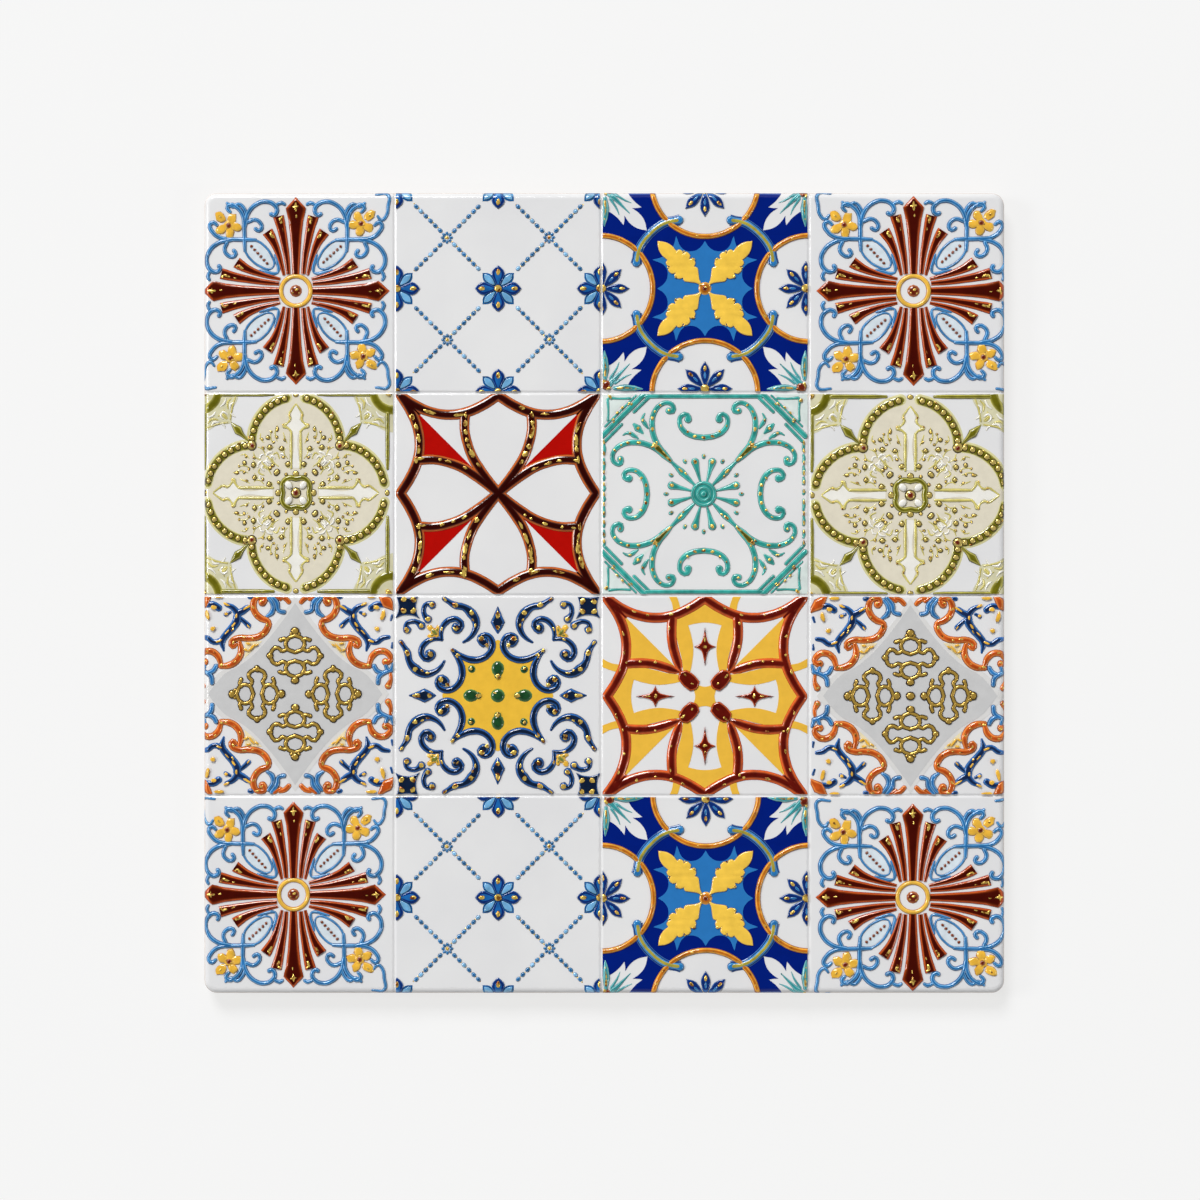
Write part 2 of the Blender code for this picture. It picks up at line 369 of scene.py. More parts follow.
# Fewer sides for the lines that are too fine to show them
fine_bead = bead_section("fine_bead", [(0.0, 1.0), (0.2, 0.88), (0.36, 0.57), (0.47, 0.2), (0.5, -0.15)])


def squeezed(strokes, closed=False, blunt=False, section=round_bead, rise=0.4):
    """Beads of glaze along the strokes. A stroke is points of x, y and width in mm from the square's middle, and the
    beads rise by a share of their width."""
    curve = bpy.data.curves.new("beads", "CURVE")
    curve.dimensions = "3D"
    curve.twist_mode = "Z_UP"
    curve.bevel_mode = "OBJECT"
    curve.bevel_object = section
    curve.use_fill_caps = True
    for stroke in strokes:
        samples = smooth_run(stroke)
        if closed:
            samples = samples[:-1]
        elif not blunt:
            samples = rounded_ends(samples)
        spline = curve.splines.new("POLY")
        spline.points.add(len(samples) - 1)
        spline.use_cyclic_u = closed
        for point, (x, y, width) in zip(spline.points, samples):
            point.co = (x * MM, y * MM, 0, 1)
            point.radius = width
    made = mesh_of(link(curve))
    made.data.transform(Matrix.Diagonal((1, 1, rise, 1)))
    return made


def rounded_ends(samples):
    """The samples of a bead with its width drawn in at both ends."""
    for _ in range(2):
        (x, y, width), (next_x, next_y, _) = samples[0], samples[1]
        back = Vector((x - next_x, y - next_y)).normalized()
        ends = []
        for out, share in ((0.42, 0.3), (0.3, 0.72), (0.12, 0.95)):
            ends.append((x + back.x * out * width, y + back.y * out * width, width * share))
        samples = (ends + samples)[::-1]
    return samples


field_sunk = 0.03


def filled(outlines, thick, bevel=0.0):
    """Flat fields of glaze. An outline is a list of smooth runs that meet at corners, in mm."""
    curve = bpy.data.curves.new("fields", "CURVE")
    curve.dimensions = "2D"
    curve.fill_mode = "BOTH"
    curve.extrude = thick * MM / 2
    for outline in outlines:
        samples = []
        for run in outline:
            samples += smooth_run(run)[:-1]
        area = sum(a[0] * b[1] - b[0] * a[1] for a, b in zip(samples, samples[1:] + samples[:1]))
        samples = samples if area > 0 else samples[::-1]
        spline = curve.splines.new("POLY")
        spline.points.add(len(samples) - 1)
        spline.use_cyclic_u = True
        for point, (x, y) in zip(spline.points, samples):
            point.co = (x * MM, y * MM, 0, 1)
    if bevel:
        curve.bevel_depth = bevel * MM
        curve.bevel_resolution = 2
        curve.offset = -bevel * MM
    made = mesh_of(link(curve))
    return raised(made, thick / 2 if bevel else thick / 2 - field_sunk)


def dabs_along(stroke, length, gap, width, aside=0.0, seed=1):
    """Dabs of uneven length and gap along a stroke, a little aside of its middle, as spots for the drops."""
    chance = random.Random(seed)
    samples = smooth_run(stroke)
    spots, left = [], gap * chance.random()
    for (x, y, *_), (to_x, to_y, *_) in zip(samples, samples[1:]):
        left -= math.hypot(to_x - x, to_y - y)
        if left > 0:
            continue
        size = length * (0.5 + chance.random())
        along = Vector((to_x - x, to_y - y)).normalized()
        off = aside + 0.25 * (chance.random() - 0.5)
        turn = math.degrees(math.atan2(along.y, along.x)) + 16 * (chance.random() - 0.5)
        spots.append((x - along.y * off, y + along.x * off, size, width * (0.7 + 0.6 * chance.random()), turn))
        left = size + gap * (0.4 + 1.2 * chance.random())
    return spots


def cut_across(part, where, across, trim=False):
    """Cuts a mesh along a plane. A trim takes off what lies beyond the plane and closes the cut."""
    geom = [*part.verts, *part.edges, *part.faces]
    cut = bmesh.ops.bisect_plane(part, geom=geom, plane_co=where, plane_no=across, clear_outer=trim)
    if trim:
        rim = [e for e in cut["geom_cut"] if isinstance(e, bmesh.types.BMEdge)]
        bmesh.ops.holes_fill(part, edges=rim)


# How high a drop stands and how far its foot reaches into the face, as shares of its width and of that height
drop_rise, drop_foot = 0.75, 0.08


def drops(spots, rough=0.0, seed=1):
    """Drops of glaze or lustre: x, y, length, width in mm and the turn in degrees of each."""
    chance = random.Random(seed)
    bpy.ops.object.select_all(action="DESELECT")
    bpy.ops.mesh.primitive_ico_sphere_add(subdivisions=2, radius=0.5 * MM)
    ball = bpy.context.object
    joined = bmesh.new()
    for x, y, length, width, turn in spots:
        low = bmesh.new()
        low.from_mesh(ball.data)
        for v in low.verts:
            v.co *= 1 + rough * (chance.random() - 0.5)
        rise = min(length, width) * drop_rise
        shape = Matrix.Diagonal((length, width, rise, 1.0))
        spin = Matrix.Rotation(math.radians(turn), 4, "Z")
        low.transform(Matrix.Translation((x * MM, y * MM, 0)) @ spin @ shape)
        cut_across(low, (0, 0, -drop_foot * rise * MM), (0, 0, -1), trim=True)
        spot = bpy.data.meshes.new("drop")
        low.to_mesh(spot)
        low.free()
        joined.from_mesh(spot)
        bpy.data.meshes.remove(spot)
    made = bpy.data.meshes.new("drops")
    joined.to_mesh(made)
    joined.free()
    bpy.data.objects.remove(ball)
    return link(made)


relief_free, relief_most, relief_crease = 0.46 * MM, 0.69 * MM, math.radians(50)
rim_cuts = (0.25, 0.5, 0.8, 1.15, 1.5)
square_margin, rim_margin = 0.35 * MM, 0.12 * MM


def pressed(rise):
    """The height of a point of the relief: above a free height it nears a greatest one, which no crown passes."""
    if rise <= relief_free:
        return rise
    room = relief_most - relief_free
    return relief_most - room * math.exp((relief_free - rise) / room)


def square_bounds(column, row):
    """West, east, south and north ends of a square, counted from the top left."""
    rim = tile_side / 2 - rim_margin
    from_south = len(joints_y) - row
    west = joints_x[column - 1] + square_margin if column else -rim
    east = joints_x[column] - square_margin if column < len(joints_x) else rim
    south = joints_y[from_south - 1] + square_margin if from_south else -rim
    north = joints_y[from_south] - square_margin if from_south < len(joints_y) else rim
    return west, east, south, north


def set_on_face(name, shapes, places, material):
    """Copies the shapes to their squares, trims each copy at its square's edge, drops it on the face and joins all."""
    whole = bmesh.new()
    for column, row, centre_x, centre_y, scale_x, scale_y in places:
        low_x, high_x, low_y, high_y = square_bounds(column, row)
        part = bmesh.new()
        for shape in shapes:
            part.from_mesh(shape.data)
        for v in part.verts:
            x = v.co.x * scale_x + centre_x * MM
            y = v.co.y * scale_y + centre_y * MM
            v.co = (x, y, v.co.z)
        cuts = [((low_x, 0, 0), (-1, 0, 0)), ((high_x, 0, 0), (1, 0, 0))]
        cuts += [((0, low_y, 0), (0, -1, 0)), ((0, high_y, 0), (0, 1, 0))]
        for where, outward in cuts:
            cut_across(part, where, outward, trim=True)
        # Edges along the joints and the tile's rim, so that the relief can bend down into them
        for joint, across in [(j, (1, 0, 0)) for j in joints_x] + [(j, (0, 1, 0)) for j in joints_y]:
            for side in (-1, 1):
                cut_across(part, (joint + side * joint_half) * Vector(across), across)
        for inward in rim_cuts:
            rim_at = tile_side / 2 - inward * edge_radius
            for where, across in (((rim_at, 0, 0), (1, 0, 0)), ((0, rim_at, 0), (0, 1, 0))):
                for side in (1, -1):
                    cut_across(part, side * Vector(where), across)
        for v in part.verts:
            base = face_height - edge_dip(v.co.x, v.co.y) - joint_dip(v.co.x, v.co.y)
            v.co.z = base + pressed(v.co.z)
        copy = bpy.data.meshes.new("copy")
        part.to_mesh(copy)
        part.free()
        whole.from_mesh(copy)
        bpy.data.meshes.remove(copy)
    mesh = bpy.data.meshes.new(name)
    whole.to_mesh(mesh)
    whole.free()
    for shape in shapes:
        bpy.data.objects.remove(shape)
    made = link(mesh)
    made.name = name
    select_alone(made)
    bpy.ops.object.shade_smooth_by_angle(angle=relief_crease)
    made.data.materials.append(material)
    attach(made, "root")
    return made


def coloured_glaze(name, crest, shoulder, foot, spread=0.12, rough=0.11, stops=(0.5, 0.8, 0.96)):
    """Glossy coloured glaze. It lies thick on the crown of a bead, breaks to a thin light line on the shoulders where
    it runs off, and goes dark at the foot as painted shade, with a little pooled glaze; it is a little uneven all over."""
    material, shader = new_finish(name)
    normal = add_node(material, "NewGeometry")
    upward = add_node(material, "SeparateXYZ", {"Vector": normal.outputs["Normal"]})
    tone = add_node(material, "ValToRGB", {"Fac": upward.outputs["Z"]})
    ramp = tone.color_ramp.elements
    # The foot colour, darker than the shoulder, is painted shade round the foot of each bead, with some pooled glaze
    ramp[0].position, ramp[0].color = stops[0], linear(foot)
    ramp[1].position, ramp[1].color = stops[2], linear(crest)
    middle = ramp.new(stops[1])
    middle.color = linear(shoulder)
    place = add_node(material, "TexCoord")
    cloud = add_node(material, "TexNoise", {"Vector": place.outputs["Object"], "Scale": 480.0, "Detail": 3.0})
    light = add_node(
        material, "MapRange",
        {"Value": cloud.outputs["Fac"], "From Min": 0.3, "From Max": 0.7, "To Min": 1 - spread, "To Max": 1 + spread},
    )
    uneven = add_node(material, "HueSaturation", {"Value": light.outputs[0], "Color": tone.outputs[0]})
    ripple = add_node(material, "Bump", {"Height": cloud.outputs["Fac"], "Strength": 0.3, "Distance": 0.15 * MM})
    material.node_tree.links.new(uneven.outputs[0], shader.inputs["Base Color"])
    material.node_tree.links.new(ripple.outputs[0], shader.inputs["Normal"])
    shader.inputs["Roughness"].default_value = rough
    shader.inputs["IOR"].default_value = 1.6
    return material


def flat_glaze(name, tone, edge, spread=0.04):
    """The same glaze laid level inside its lines, of one tone but for the rim where it thins."""
    return coloured_glaze(name, tone, edge, edge, spread=spread, stops=(0.4, 0.6, 0.85))


# Gold lustre: a film of real metal fired on last. It is bright where it lies thick and goes brown where it is thin.
gold_lustre, shader = new_finish("gold_lustre")
place = add_node(gold_lustre, "TexCoord")
worn = add_node(gold_lustre, "TexNoise", {"Vector": place.outputs["Object"], "Scale": 900.0, "Detail": 2.0})
film = add_node(gold_lustre, "ValToRGB", {"Fac": worn.outputs["Fac"]})
film.color_ramp.elements[0].position = 0.38
film.color_ramp.elements[0].color = linear("#8a4a14")
film.color_ramp.elements[1].position = 0.52
film.color_ramp.elements[1].color = linear("#fad468")
gold_lustre.node_tree.links.new(film.outputs[0], shader.inputs["Base Color"])
shader.inputs["Metallic"].default_value = 0.5
shader.inputs["Roughness"].default_value = 0.18


def on_circle(x, y, radius, degrees):
    """The point of a circle at an angle."""
    angle = math.radians(degrees)
    return x + radius * math.cos(angle), y + radius * math.sin(angle)


def arc(x, y, radius, first, last, width=None):
    """A stroke along part of a circle, from one angle in degrees to another."""
    count = max(2, math.ceil(abs(last - first) / 15))
    spots = [on_circle(x, y, radius, first + (last - first) * n / count) for n in range(count + 1)]
    return spots if width is None else [(*spot, width) for spot in spots]


def even(points, width, tip=None):
    """A stroke of one width, which thins towards its ends where a tip width is given."""
    last = len(points) - 1
    return [(*p, width if tip is None or 0 < i < last else tip) for i, p in enumerate(points)]


def spot_ways(spots, ways):
    """Drops copied by one of the ways above, each turned along with its place."""
    moved = []
    for x, y, length, width, turn in spots:
        ahead = (x + math.cos(math.radians(turn)), y + math.sin(math.radians(turn)))
        for (at_x, at_y), (to_x, to_y) in ways([[(x, y), ahead]]):
            moved.append((at_x, at_y, length, width, math.degrees(math.atan2(to_y - at_y, to_x - at_x))))
    return moved


# Column and row of each square from the top left, the middle of its pattern in mm, and how much that is stretched
cross_places = [
    (0, 0, -77.0, 75.4, 1.0, 1.0), (3, 0, 77.2, 75.4, 1.035, 1.012),
    (0, 3, -77.6, -75.3, 0.985, 0.992), (3, 3, 77.0, -76.0, 1.035, 1.0),
]
middle_finger = [(0, 4.2, 1.9), (0, 9.0, 2.4), (0, 13.5, 3.0), (0, 17.4, 3.9), (0, 20.6, 5.4), (0, 23.4, 0.2)]
inner_finger = [
    (-1.85, 4.2, 1.2), (-2.25, 8.2, 1.6), (-2.9, 12.0, 2.0), (-3.55, 15.4, 2.4), (-4.05, 17.5, 2.8),
    (-4.35, 18.6, 2.9),
]
outer_finger = [
    (-2.95, 3.9, 0.8), (-3.5, 6.2, 1.2), (-4.35, 9.2, 1.6), (-5.35, 11.8, 2.1), (-6.5, 13.9, 2.8), (-7.1, 14.8, 3.0),
]
fingers = four_ways([middle_finger]) + eight_ways([inner_finger, outer_finger])
# Manganese brown: thick and almost black-red on the flat crowns, where it breaks to rust on the slopes
brown_glaze = coloured_glaze("manganese_brown_glaze", "#430b04", "#c9571c", "#7a200a", stops=(0.45, 0.93, 0.997))
finger_ribs = levelled(squeezed(fingers, blunt=True, section=flat_rib, rise=0.4), 0.42)
set_on_face("cross_fingers", [finger_ribs], cross_places, brown_glaze)

cross_lines = [
    even([(12.3, 12.7), (10.0, 12.6), (7.5, 10.9), (5.9, 8.5), (5.4, 6.9), (5.7, 5.9)], 0.65, 0.45),
    even([(5.2, 9.0), (4.7, 7.2), (4.3, 5.6), (4.5, 4.6)], 0.95, 0.6),
    even([
        (10.0, 12.7), (12.1, 12.8), (16.0, 12.9), (19.0, 13.3), (20.8, 14.7), (21.5, 16.5), (20.6, 17.1), (19.7, 16.4),
    ], 1.15, 0.9),
    even([
        (16.0, 12.8), (19.5, 11.9), (21.8, 9.6), (22.3, 7.3), (21.5, 5.4), (20.0, 4.7), (18.9, 5.5), (19.2, 6.2),
    ], 1.2),
    even([(21.4, 4.9), (22.0, 3.6), (21.6, 2.8)], 1.1, 0.9),
    even([(12.0, 17.2), (10.3, 17.8), (8.9, 17.0), (8.5, 15.8), (9.2, 15.0), (10.1, 15.5)], 1.1),
]
# Cobalt thinned with tin white: clear mid blue on the crown, pale where it runs thin, deep along the foot
mid_blue_glaze = coloured_glaze(
    "thinned_cobalt_glaze", "#236ba8", "#79b5dc", "#12488a", spread=0.25, stops=(0.55, 0.82, 0.96)
)
set_on_face("cross_scrolls", [squeezed(eight_ways(cross_lines), rise=0.45)], cross_places, mid_blue_glaze)
# The frame stands at the three corners that face other squares, and the sprig alone at the tile's own corner
corner_frame = even([(20.4, 18.7), (21.3, 17.7), (22.6, 18.8), (23.0, 21.0), (23.0, 24.0), (20.0, 24.1)], 0.95, 0.7)
corner_sprig = even([(12.2, 18.6), (12.9, 20.5), (14.3, 21.7), (15.7, 21.0), (17.2, 21.9)], 1.0, 0.8)
for column, row, *rest in cross_places:
    side_x, side_y = (1 if column else -1), (-1 if row else 1)
    frames = [f for f in both_ways([corner_frame, corner_sprig]) if f[0][0] * side_x < 0 or f[0][1] * side_y < 0]
    frames += [f for f in both_ways([corner_sprig]) if f[0][0] * side_x > 0 and f[0][1] * side_y > 0]
    name = "cross_corner_frames_" + str(column) + str(row)
    set_on_face(name, [squeezed(frames, rise=0.45)], [(column, row, *rest)], mid_blue_glaze)
vesica = [
    [(5.9, 6.0), (6.2, 8.2), (7.9, 10.6), (10.2, 12.2), (12.3, 12.5)],
    [(12.3, 12.5), (12.2, 10.2), (10.6, 7.9), (8.2, 6.2), (5.9, 6.0)],
]
# A thin wash of the same blue, which lets the white through
set_on_face("cross_washes", [filled(copied(vesica, four_ways), 0.07)], cross_places, flat_glaze(
    "thin_blue_wash", "#d6e1e8", "#b9d0df", spread=0.08
))

# Iron amber: egg yellow on the crown, a little lighter on the shoulder and brown at the foot as painted shade with a
# little pooled glaze
amber_glaze = coloured_glaze(
    "iron_amber_glaze", "#e9b440", "#f2c95c", "#b3661a", spread=0.15, stops=(0.55, 0.8, 0.97)
)
flower = (16.3, 16.8)
petals = [(*on_circle(*flower, 2.9, 45), 3.3, 2.4, 45)]
for turn in (117, 189, 261, 333):
    petals.append((*on_circle(*flower, 1.9, turn), 3.0, 2.3, turn))
petals.append((*flower, 2.6, 2.6, 0))
ring = squeezed([circle(0, 0, 3.7, 1.2)], closed=True)
flowers = levelled(drops(spot_ways(petals, four_ways), 0.34), 0.4)
set_on_face("cross_ring_and_flowers", [ring, flowers], cross_places, amber_glaze)
beads = [(0, 0, 3.1, 3.1, 0)]
beads += spot_ways([(*flower, 1.6, 1.5, 0)], four_ways)
for n in range(6):
    beads += spot_ways([(6.9 + 0.85 * n, 7.2 + 0.78 * n, 0.85, 0.7, 60 + 35 * (n % 3))], four_ways)
# Thick manganese: chestnut, redder on the slopes
chestnut_glaze = coloured_glaze("thick_manganese_glaze", "#64200f", "#b5673a", "#451208", spread=0.2)
set_on_face(
    "cross_beads", [lowered(drops(beads[:1]), 0.4), raised(drops(beads[1:]), 0.14)], cross_places, chestnut_glaze
)
dabs = [(0.0, 20.9, 2.1, 0.7, 90), (0.0, 21.0, 1.7, 0.6, 8), (0.2, 18.6, 0.9, 0.35, 90)]
side_dabs = [
    (-3.8, 17.4, 1.8, 0.7, 110), (-3.5, 18.3, 0.9, 0.5, 20), (-5.9, 13.7, 1.7, 0.7, 130), (-6.2, 14.5, 0.8, 0.5, 40),
    (-3.2, 15.2, 0.9, 0.3, 104),
]
lustre = spot_ways(dabs, four_ways) + spot_ways(side_dabs, eight_ways)
small = [(0.2, 0.3, 0.9, 0.6, 20), (-0.7, -0.5, 0.5, 0.4, 0), (0.8, -0.6, 0.5, 0.35, 60)]
small += spot_ways([(15.8, 17.2, 0.5, 0.4, 10), (17.0, 16.5, 0.5, 0.35, 70), (18.5, 18.9, 0.8, 0.5, 45)], four_ways)
set_on_face(
    "cross_lustre", [raised(drops(lustre, 0.6, seed=3), 0.36), raised(drops(small, 0.4, seed=4), 0.44)],
    cross_places, gold_lustre,
)
low_lustre = [
    (19.3, 4.9, 0.8, 0.4, 30), (8.9, 17.0, 0.7, 0.4, 60), (20.9, 15.0, 1.0, 0.35, 50), (22.2, 8.2, 1.6, 0.35, 75),
]
glints = raised(drops(spot_ways(low_lustre, eight_ways), 0.5, seed=5), 0.3)
set_on_face("cross_glints", [glints], cross_places, gold_lustre)


# The squares with a beaded lattice
# Small drops of blue glaze set one by one along the diagonals of a plain white square, with a flower at each
# crossing. The flowers stand on the joints too, where the square cuts them.
lattice_places = [(1, 0, -26.5, 76.0, 1.0, 1.0), (1, 3, -26.5, -76.0, 1.0, 1.0)]
deep_beads, pale_beads, lattice_specks = [], [], []
steps = [5.0, 6.15, 7.35, 8.55, 9.75, 10.95, 14.5, 15.7, 16.9, 18.1, 19.3, 20.45]
for n, t in enumerate(steps):
    for x, turn in ((t, 45), (25.4 - t, 135)):
        row = deep_beads if (n + 2 * (turn > 90)) % 5 else pale_beads
        row.append((x, t, 1.4, 1.1, turn))
        lattice_specks.append((x + 0.85 * math.cos(math.radians(turn)) + 0.15, t + 0.5, 0.4, 0.3, turn + 60))
crossing = (12.7, 12.8)
for angle in range(0, 360, 45):
    deep_beads.append((*on_circle(*crossing, 1.05, angle), 1.0, 0.8, angle))
lattice_flowers = [
    (0, 0), (25.4, 0), (-25.3, 0), (0, 25.7), (0, -25.8), (25.4, 25.7), (-25.3, 25.7), (25.4, -25.8), (-25.3, -25.8),
]
petal = [
    [(0.35, 0.7), (1.2, 2.4), (1.65, 3.8), (1.1, 4.9), (0.0, 5.8)],
    [(0.0, 5.8), (-1.1, 4.9), (-1.65, 3.8), (-1.2, 2.4), (-0.35, 0.7)],
    [(-0.35, 0.7), (0.35, 0.7)],
]
pale_petal = [
    [(0.4, 0.7), (1.1, 2.5), (2.1, 3.7), (3.9, 3.9)], [(3.9, 3.9), (3.7, 2.1), (2.5, 1.1), (0.7, 0.4)],
    [(0.7, 0.4), (0.4, 0.7)],
]
petal_core = [
    [(0.25, 0.9), (0.75, 2.4), (1.05, 3.7), (0.7, 4.5), (0.0, 5.1)],
    [(0.0, 5.1), (-0.7, 4.5), (-1.05, 3.7), (-0.75, 2.4), (-0.25, 0.9)],
    [(-0.25, 0.9), (0.25, 0.9)],
]
pale_core = [
    [(0.8, 1.05), (1.4, 2.4), (2.25, 3.3), (3.55, 3.55)], [(3.55, 3.55), (3.3, 2.25), (2.4, 1.4), (1.05, 0.8)],
    [(1.05, 0.8), (0.8, 1.05)],
]


def shifted(points, x, y):
    """Points or drops moved to another middle."""
    return [(p[0] + x, p[1] + y, *p[2:]) for p in points]


def flower_copies(outline):
    """An outline of one petal at the four quarters of every flower."""
    petals_round = copied(outline, four_ways)
    return [[shifted(run, x, y) for run in runs] for x, y in lattice_flowers for runs in petals_round]


# Cobalt dropped on thick: deep blue crowns with a light shoulder
bead_cobalt = coloured_glaze("bead_cobalt_glaze", "#195a92", "#5f9ecb", "#0e3a6c", spread=0.3)
# The same with tin in it: pale sky blue, with a deeper foot
pale_cobalt = coloured_glaze("bead_pale_cobalt_glaze", "#6ea8d2", "#a4cce6", "#2a629c", spread=0.25)
set_on_face(
    "lattice_deep_blue",
    [drops(spot_ways(deep_beads, four_ways)), filled(flower_copies(pale_petal), 0.1),
     filled([[circle(x, y, 3.4)] for x, y in lattice_flowers], 0.07)],
    lattice_places, bead_cobalt,
)
set_on_face(
    "lattice_pale_blue",
    [drops(spot_ways(pale_beads, four_ways)), raised(filled(flower_copies(pale_core), 0.08, bevel=0.18), 0.08)],
    lattice_places, pale_cobalt,
)
# Undiluted cobalt: navy, darker still at the foot, mid blue only where it thins on the shoulder
navy_glaze = coloured_glaze("thick_cobalt_glaze", "#0e2c6e", "#3d78c0", "#0a1c50", spread=0.2)
set_on_face("lattice_petals", [filled(flower_copies(petal), 0.14, bevel=0.25)], lattice_places, navy_glaze)
petal_cores = raised(filled(flower_copies(petal_core), 0.06, bevel=0.2), 0.14)
# Cobalt at middle strength: a clear blue core inside each navy petal
set_on_face("lattice_petal_cores", [petal_cores], lattice_places, coloured_glaze(
    "petal_cobalt_glaze", "#1d60a4", "#6aa4d8", "#123c7c", spread=0.25
))
hearts, specks = [], []
for x, y in lattice_flowers:
    hearts += shifted(spot_ways([(0, 4.1, 1.7, 1.1, 90)], four_ways), x, y)
    hearts.append((x, y, 1.9, 1.9, 0))
    specks += [(x, y, 0.8, 0.8, 0), *shifted(spot_ways([(0, 3.9, 0.6, 0.5, 90)], four_ways), x, y)]
rosettes = spot_ways([(*crossing, 0.9, 0.9, 0)], four_ways)
set_on_face(
    "lattice_lustre",
    [raised(drops(hearts, 0.2, seed=8), 0.34), drops(rosettes + spot_ways(lattice_specks, four_ways), 0.3, seed=9)],
    lattice_places, gold_lustre,
)
set_on_face("lattice_hearts", [raised(drops(specks), 0.5)], lattice_places, chestnut_glaze)


# The squares with a cobalt star
# A flat field of thick cobalt, with four round windows and four white palmettes left open, a lighter star painted over
# it and four raised leaves. Amber beads edge the windows, and a blue-green clasp ties each pair of them.
cobalt_places = [(2, 0, 25.1, 76.0, 1.0, 1.0), (2, 3, 25.3, -76.2, 1.0, 1.0)]


def back_over_diagonal(runs):
    """The runs mirrored about the diagonal and in the opposite order, to go on along an outline."""
    return [swap_xy(run)[::-1] for run in runs[::-1]]


def chained(runs):
    """Runs of one quarter of an outline, clockwise, repeated at each quarter turn to close it."""
    return [turned(run, (4 - n) % 4) for n in range(4) for run in runs]


def spun(points, degrees):
    """Points turned about the middle by any angle."""
    c, s = math.cos(math.radians(degrees)), math.sin(math.radians(degrees))
    return [(p[0] * c - p[1] * s, p[0] * s + p[1] * c, *p[2:]) for p in points]


palmette = [
    [(20.0, 26.4), (19.2, 24.0), (17.8, 22.0), (15.8, 20.3)], [(15.8, 20.3), (17.0, 20.1), (18.2, 20.1)],
    [(18.2, 20.1), (16.5, 18.9), (15.1, 17.0), (14.5, 14.5)],
]
window_y, window_radius = 26.3, 13.3
window = arc(0, window_y, window_radius, 180, 360)
ground = chained([
    window, [(window_radius, window_y), (20.0, 26.4)], *palmette, *back_over_diagonal(palmette),
    [(26.4, 20.0), (window_y, window_radius)],
])
# Cobalt laid thick and level: an even royal blue, a little lighter along its rim
set_on_face("cobalt_ground", [filled([ground], 0.11)], cobalt_places, flat_glaze(
    "thick_cobalt_field_glaze", "#021d78", "#1d4a9e", spread=0.03
))
star = [
    [(0, 11.9), (1.2, 10.2), (3.2, 9.3), (5.5, 9.9), (7.2, 13.1)], [(7.2, 13.1), (7.9, 10.6), (8.6, 9.6), (9.2, 9.2)],
]
star_outline = chained([*star, *back_over_diagonal(star)])
# Half the cobalt: a plain mid blue over the dark field
set_on_face("cobalt_star", [filled([star_outline], 0.16)], cobalt_places, flat_glaze(
    "half_strength_cobalt_glaze", "#2c76ba", "#5b9ed2"
))
leaf = [
    [(0.8, 0.6), (2.2, 1.3), (3.6, 1.5), (5.0, 1.7)], [(5.0, 1.7), (5.4, 2.1), (5.5, 2.6)],
    [(5.5, 2.6), (6.3, 2.3), (7.3, 2.6)],
    [(7.3, 2.6), (7.6, 3.2), (7.4, 3.8)], [(7.4, 3.8), (8.3, 3.6), (9.2, 4.4)], [(9.2, 4.4), (9.2, 5.0), (8.8, 5.4)],
    [(8.8, 5.4), (9.4, 5.6), (9.8, 6.3)], [(9.8, 6.3), (9.7, 6.8), (9.4, 7.1)],
    [(9.4, 7.1), (10.7, 8.2), (11.6, 9.8), (11.9, 11.9)],
]
leaf_outline = [*leaf, *back_over_diagonal(leaf)]
# Amber made opaque with tin: golden yellow all over, with a brown rim painted as shade down the steep edges of each
# leaf
leaf_glaze = coloured_glaze(
    "raised_amber_glaze", "#f3c74c", "#f6d673", "#a8620f", spread=0.08, stops=(0.5, 0.78, 0.98)
)
set_on_face("cobalt_leaves", [filled(copied(leaf_outline, four_ways), 0.14, bevel=0.34)], cobalt_places, leaf_glaze)
window_beads = four_ways([arc(0, window_y, window_radius, 180, 360, 1.45)])
# Amber squeezed on thick: burnt orange on the crown, yellow on the shoulder, brown at the foot
orange_glaze = coloured_glaze(
    "thick_amber_glaze", "#bd6a18", "#f3b341", "#944812", spread=0.3, stops=(0.5, 0.82, 0.98)
)
cobalt_hearts = [(25.2, 0), (-25.7, 0), (0, 24.8), (0, -25.0)]
set_on_face(
    "cobalt_window_beads",
    [squeezed(window_beads, rise=0.42), lowered(drops([(0, 0, 3.5, 3.5, 0)]), 0.34)], cobalt_places, orange_glaze,
)
daisy_petal = [
    [(0.3, 0.9), (1.05, 3.2), (1.15, 4.8), (0.0, 6.9)], [(0.0, 6.9), (-1.15, 4.8), (-1.05, 3.2), (-0.3, 0.9)],
    [(-0.3, 0.9), (0.3, 0.9)],
]
daisies, daisy_veins, daisy_drops = [], [], []
for x, y in cobalt_hearts:
    for n in range(8):
        daisies.append([shifted(spun(run, 45 * n), x, y) for run in daisy_petal])
        (near_x, near_y), (far_x, far_y) = spun([(0, 3.3), (0, 5.0)], 45 * n)
        daisy_veins.append((x + near_x, y + near_y, 2.6, 0.8, 90 + 45 * n))
        daisy_drops.append((x + far_x, y + far_y, 1.6, 0.85, 90 + 45 * n))
    daisy_drops.append((x, y, 2.2, 2.2, 0))
set_on_face("cobalt_daisies", [filled(daisies, 0.14, bevel=0.25)], cobalt_places, navy_glaze)
set_on_face("cobalt_daisy_veins", [raised(drops(daisy_veins), 0.18)], cobalt_places, mid_blue_glaze)
clasp = [(6.3, 17.1, 2.9), (7.4, 16.95, 2.5), (9.7, 16.5, 2.4), (12.2, 15.0, 2.4), (13.7, 13.7, 2.4)]
clasp_body = [(x, y, width - 0.75) for x, y, width in clasp]
clasp_crown = [(6.8, 17.0, 0.9), (9.6, 16.45, 0.8), (12.2, 14.95, 0.75), (13.6, 13.65, 0.75)]
clasp_feet = levelled(squeezed(eight_ways([clasp]), blunt=True, rise=0.3), 0.3)
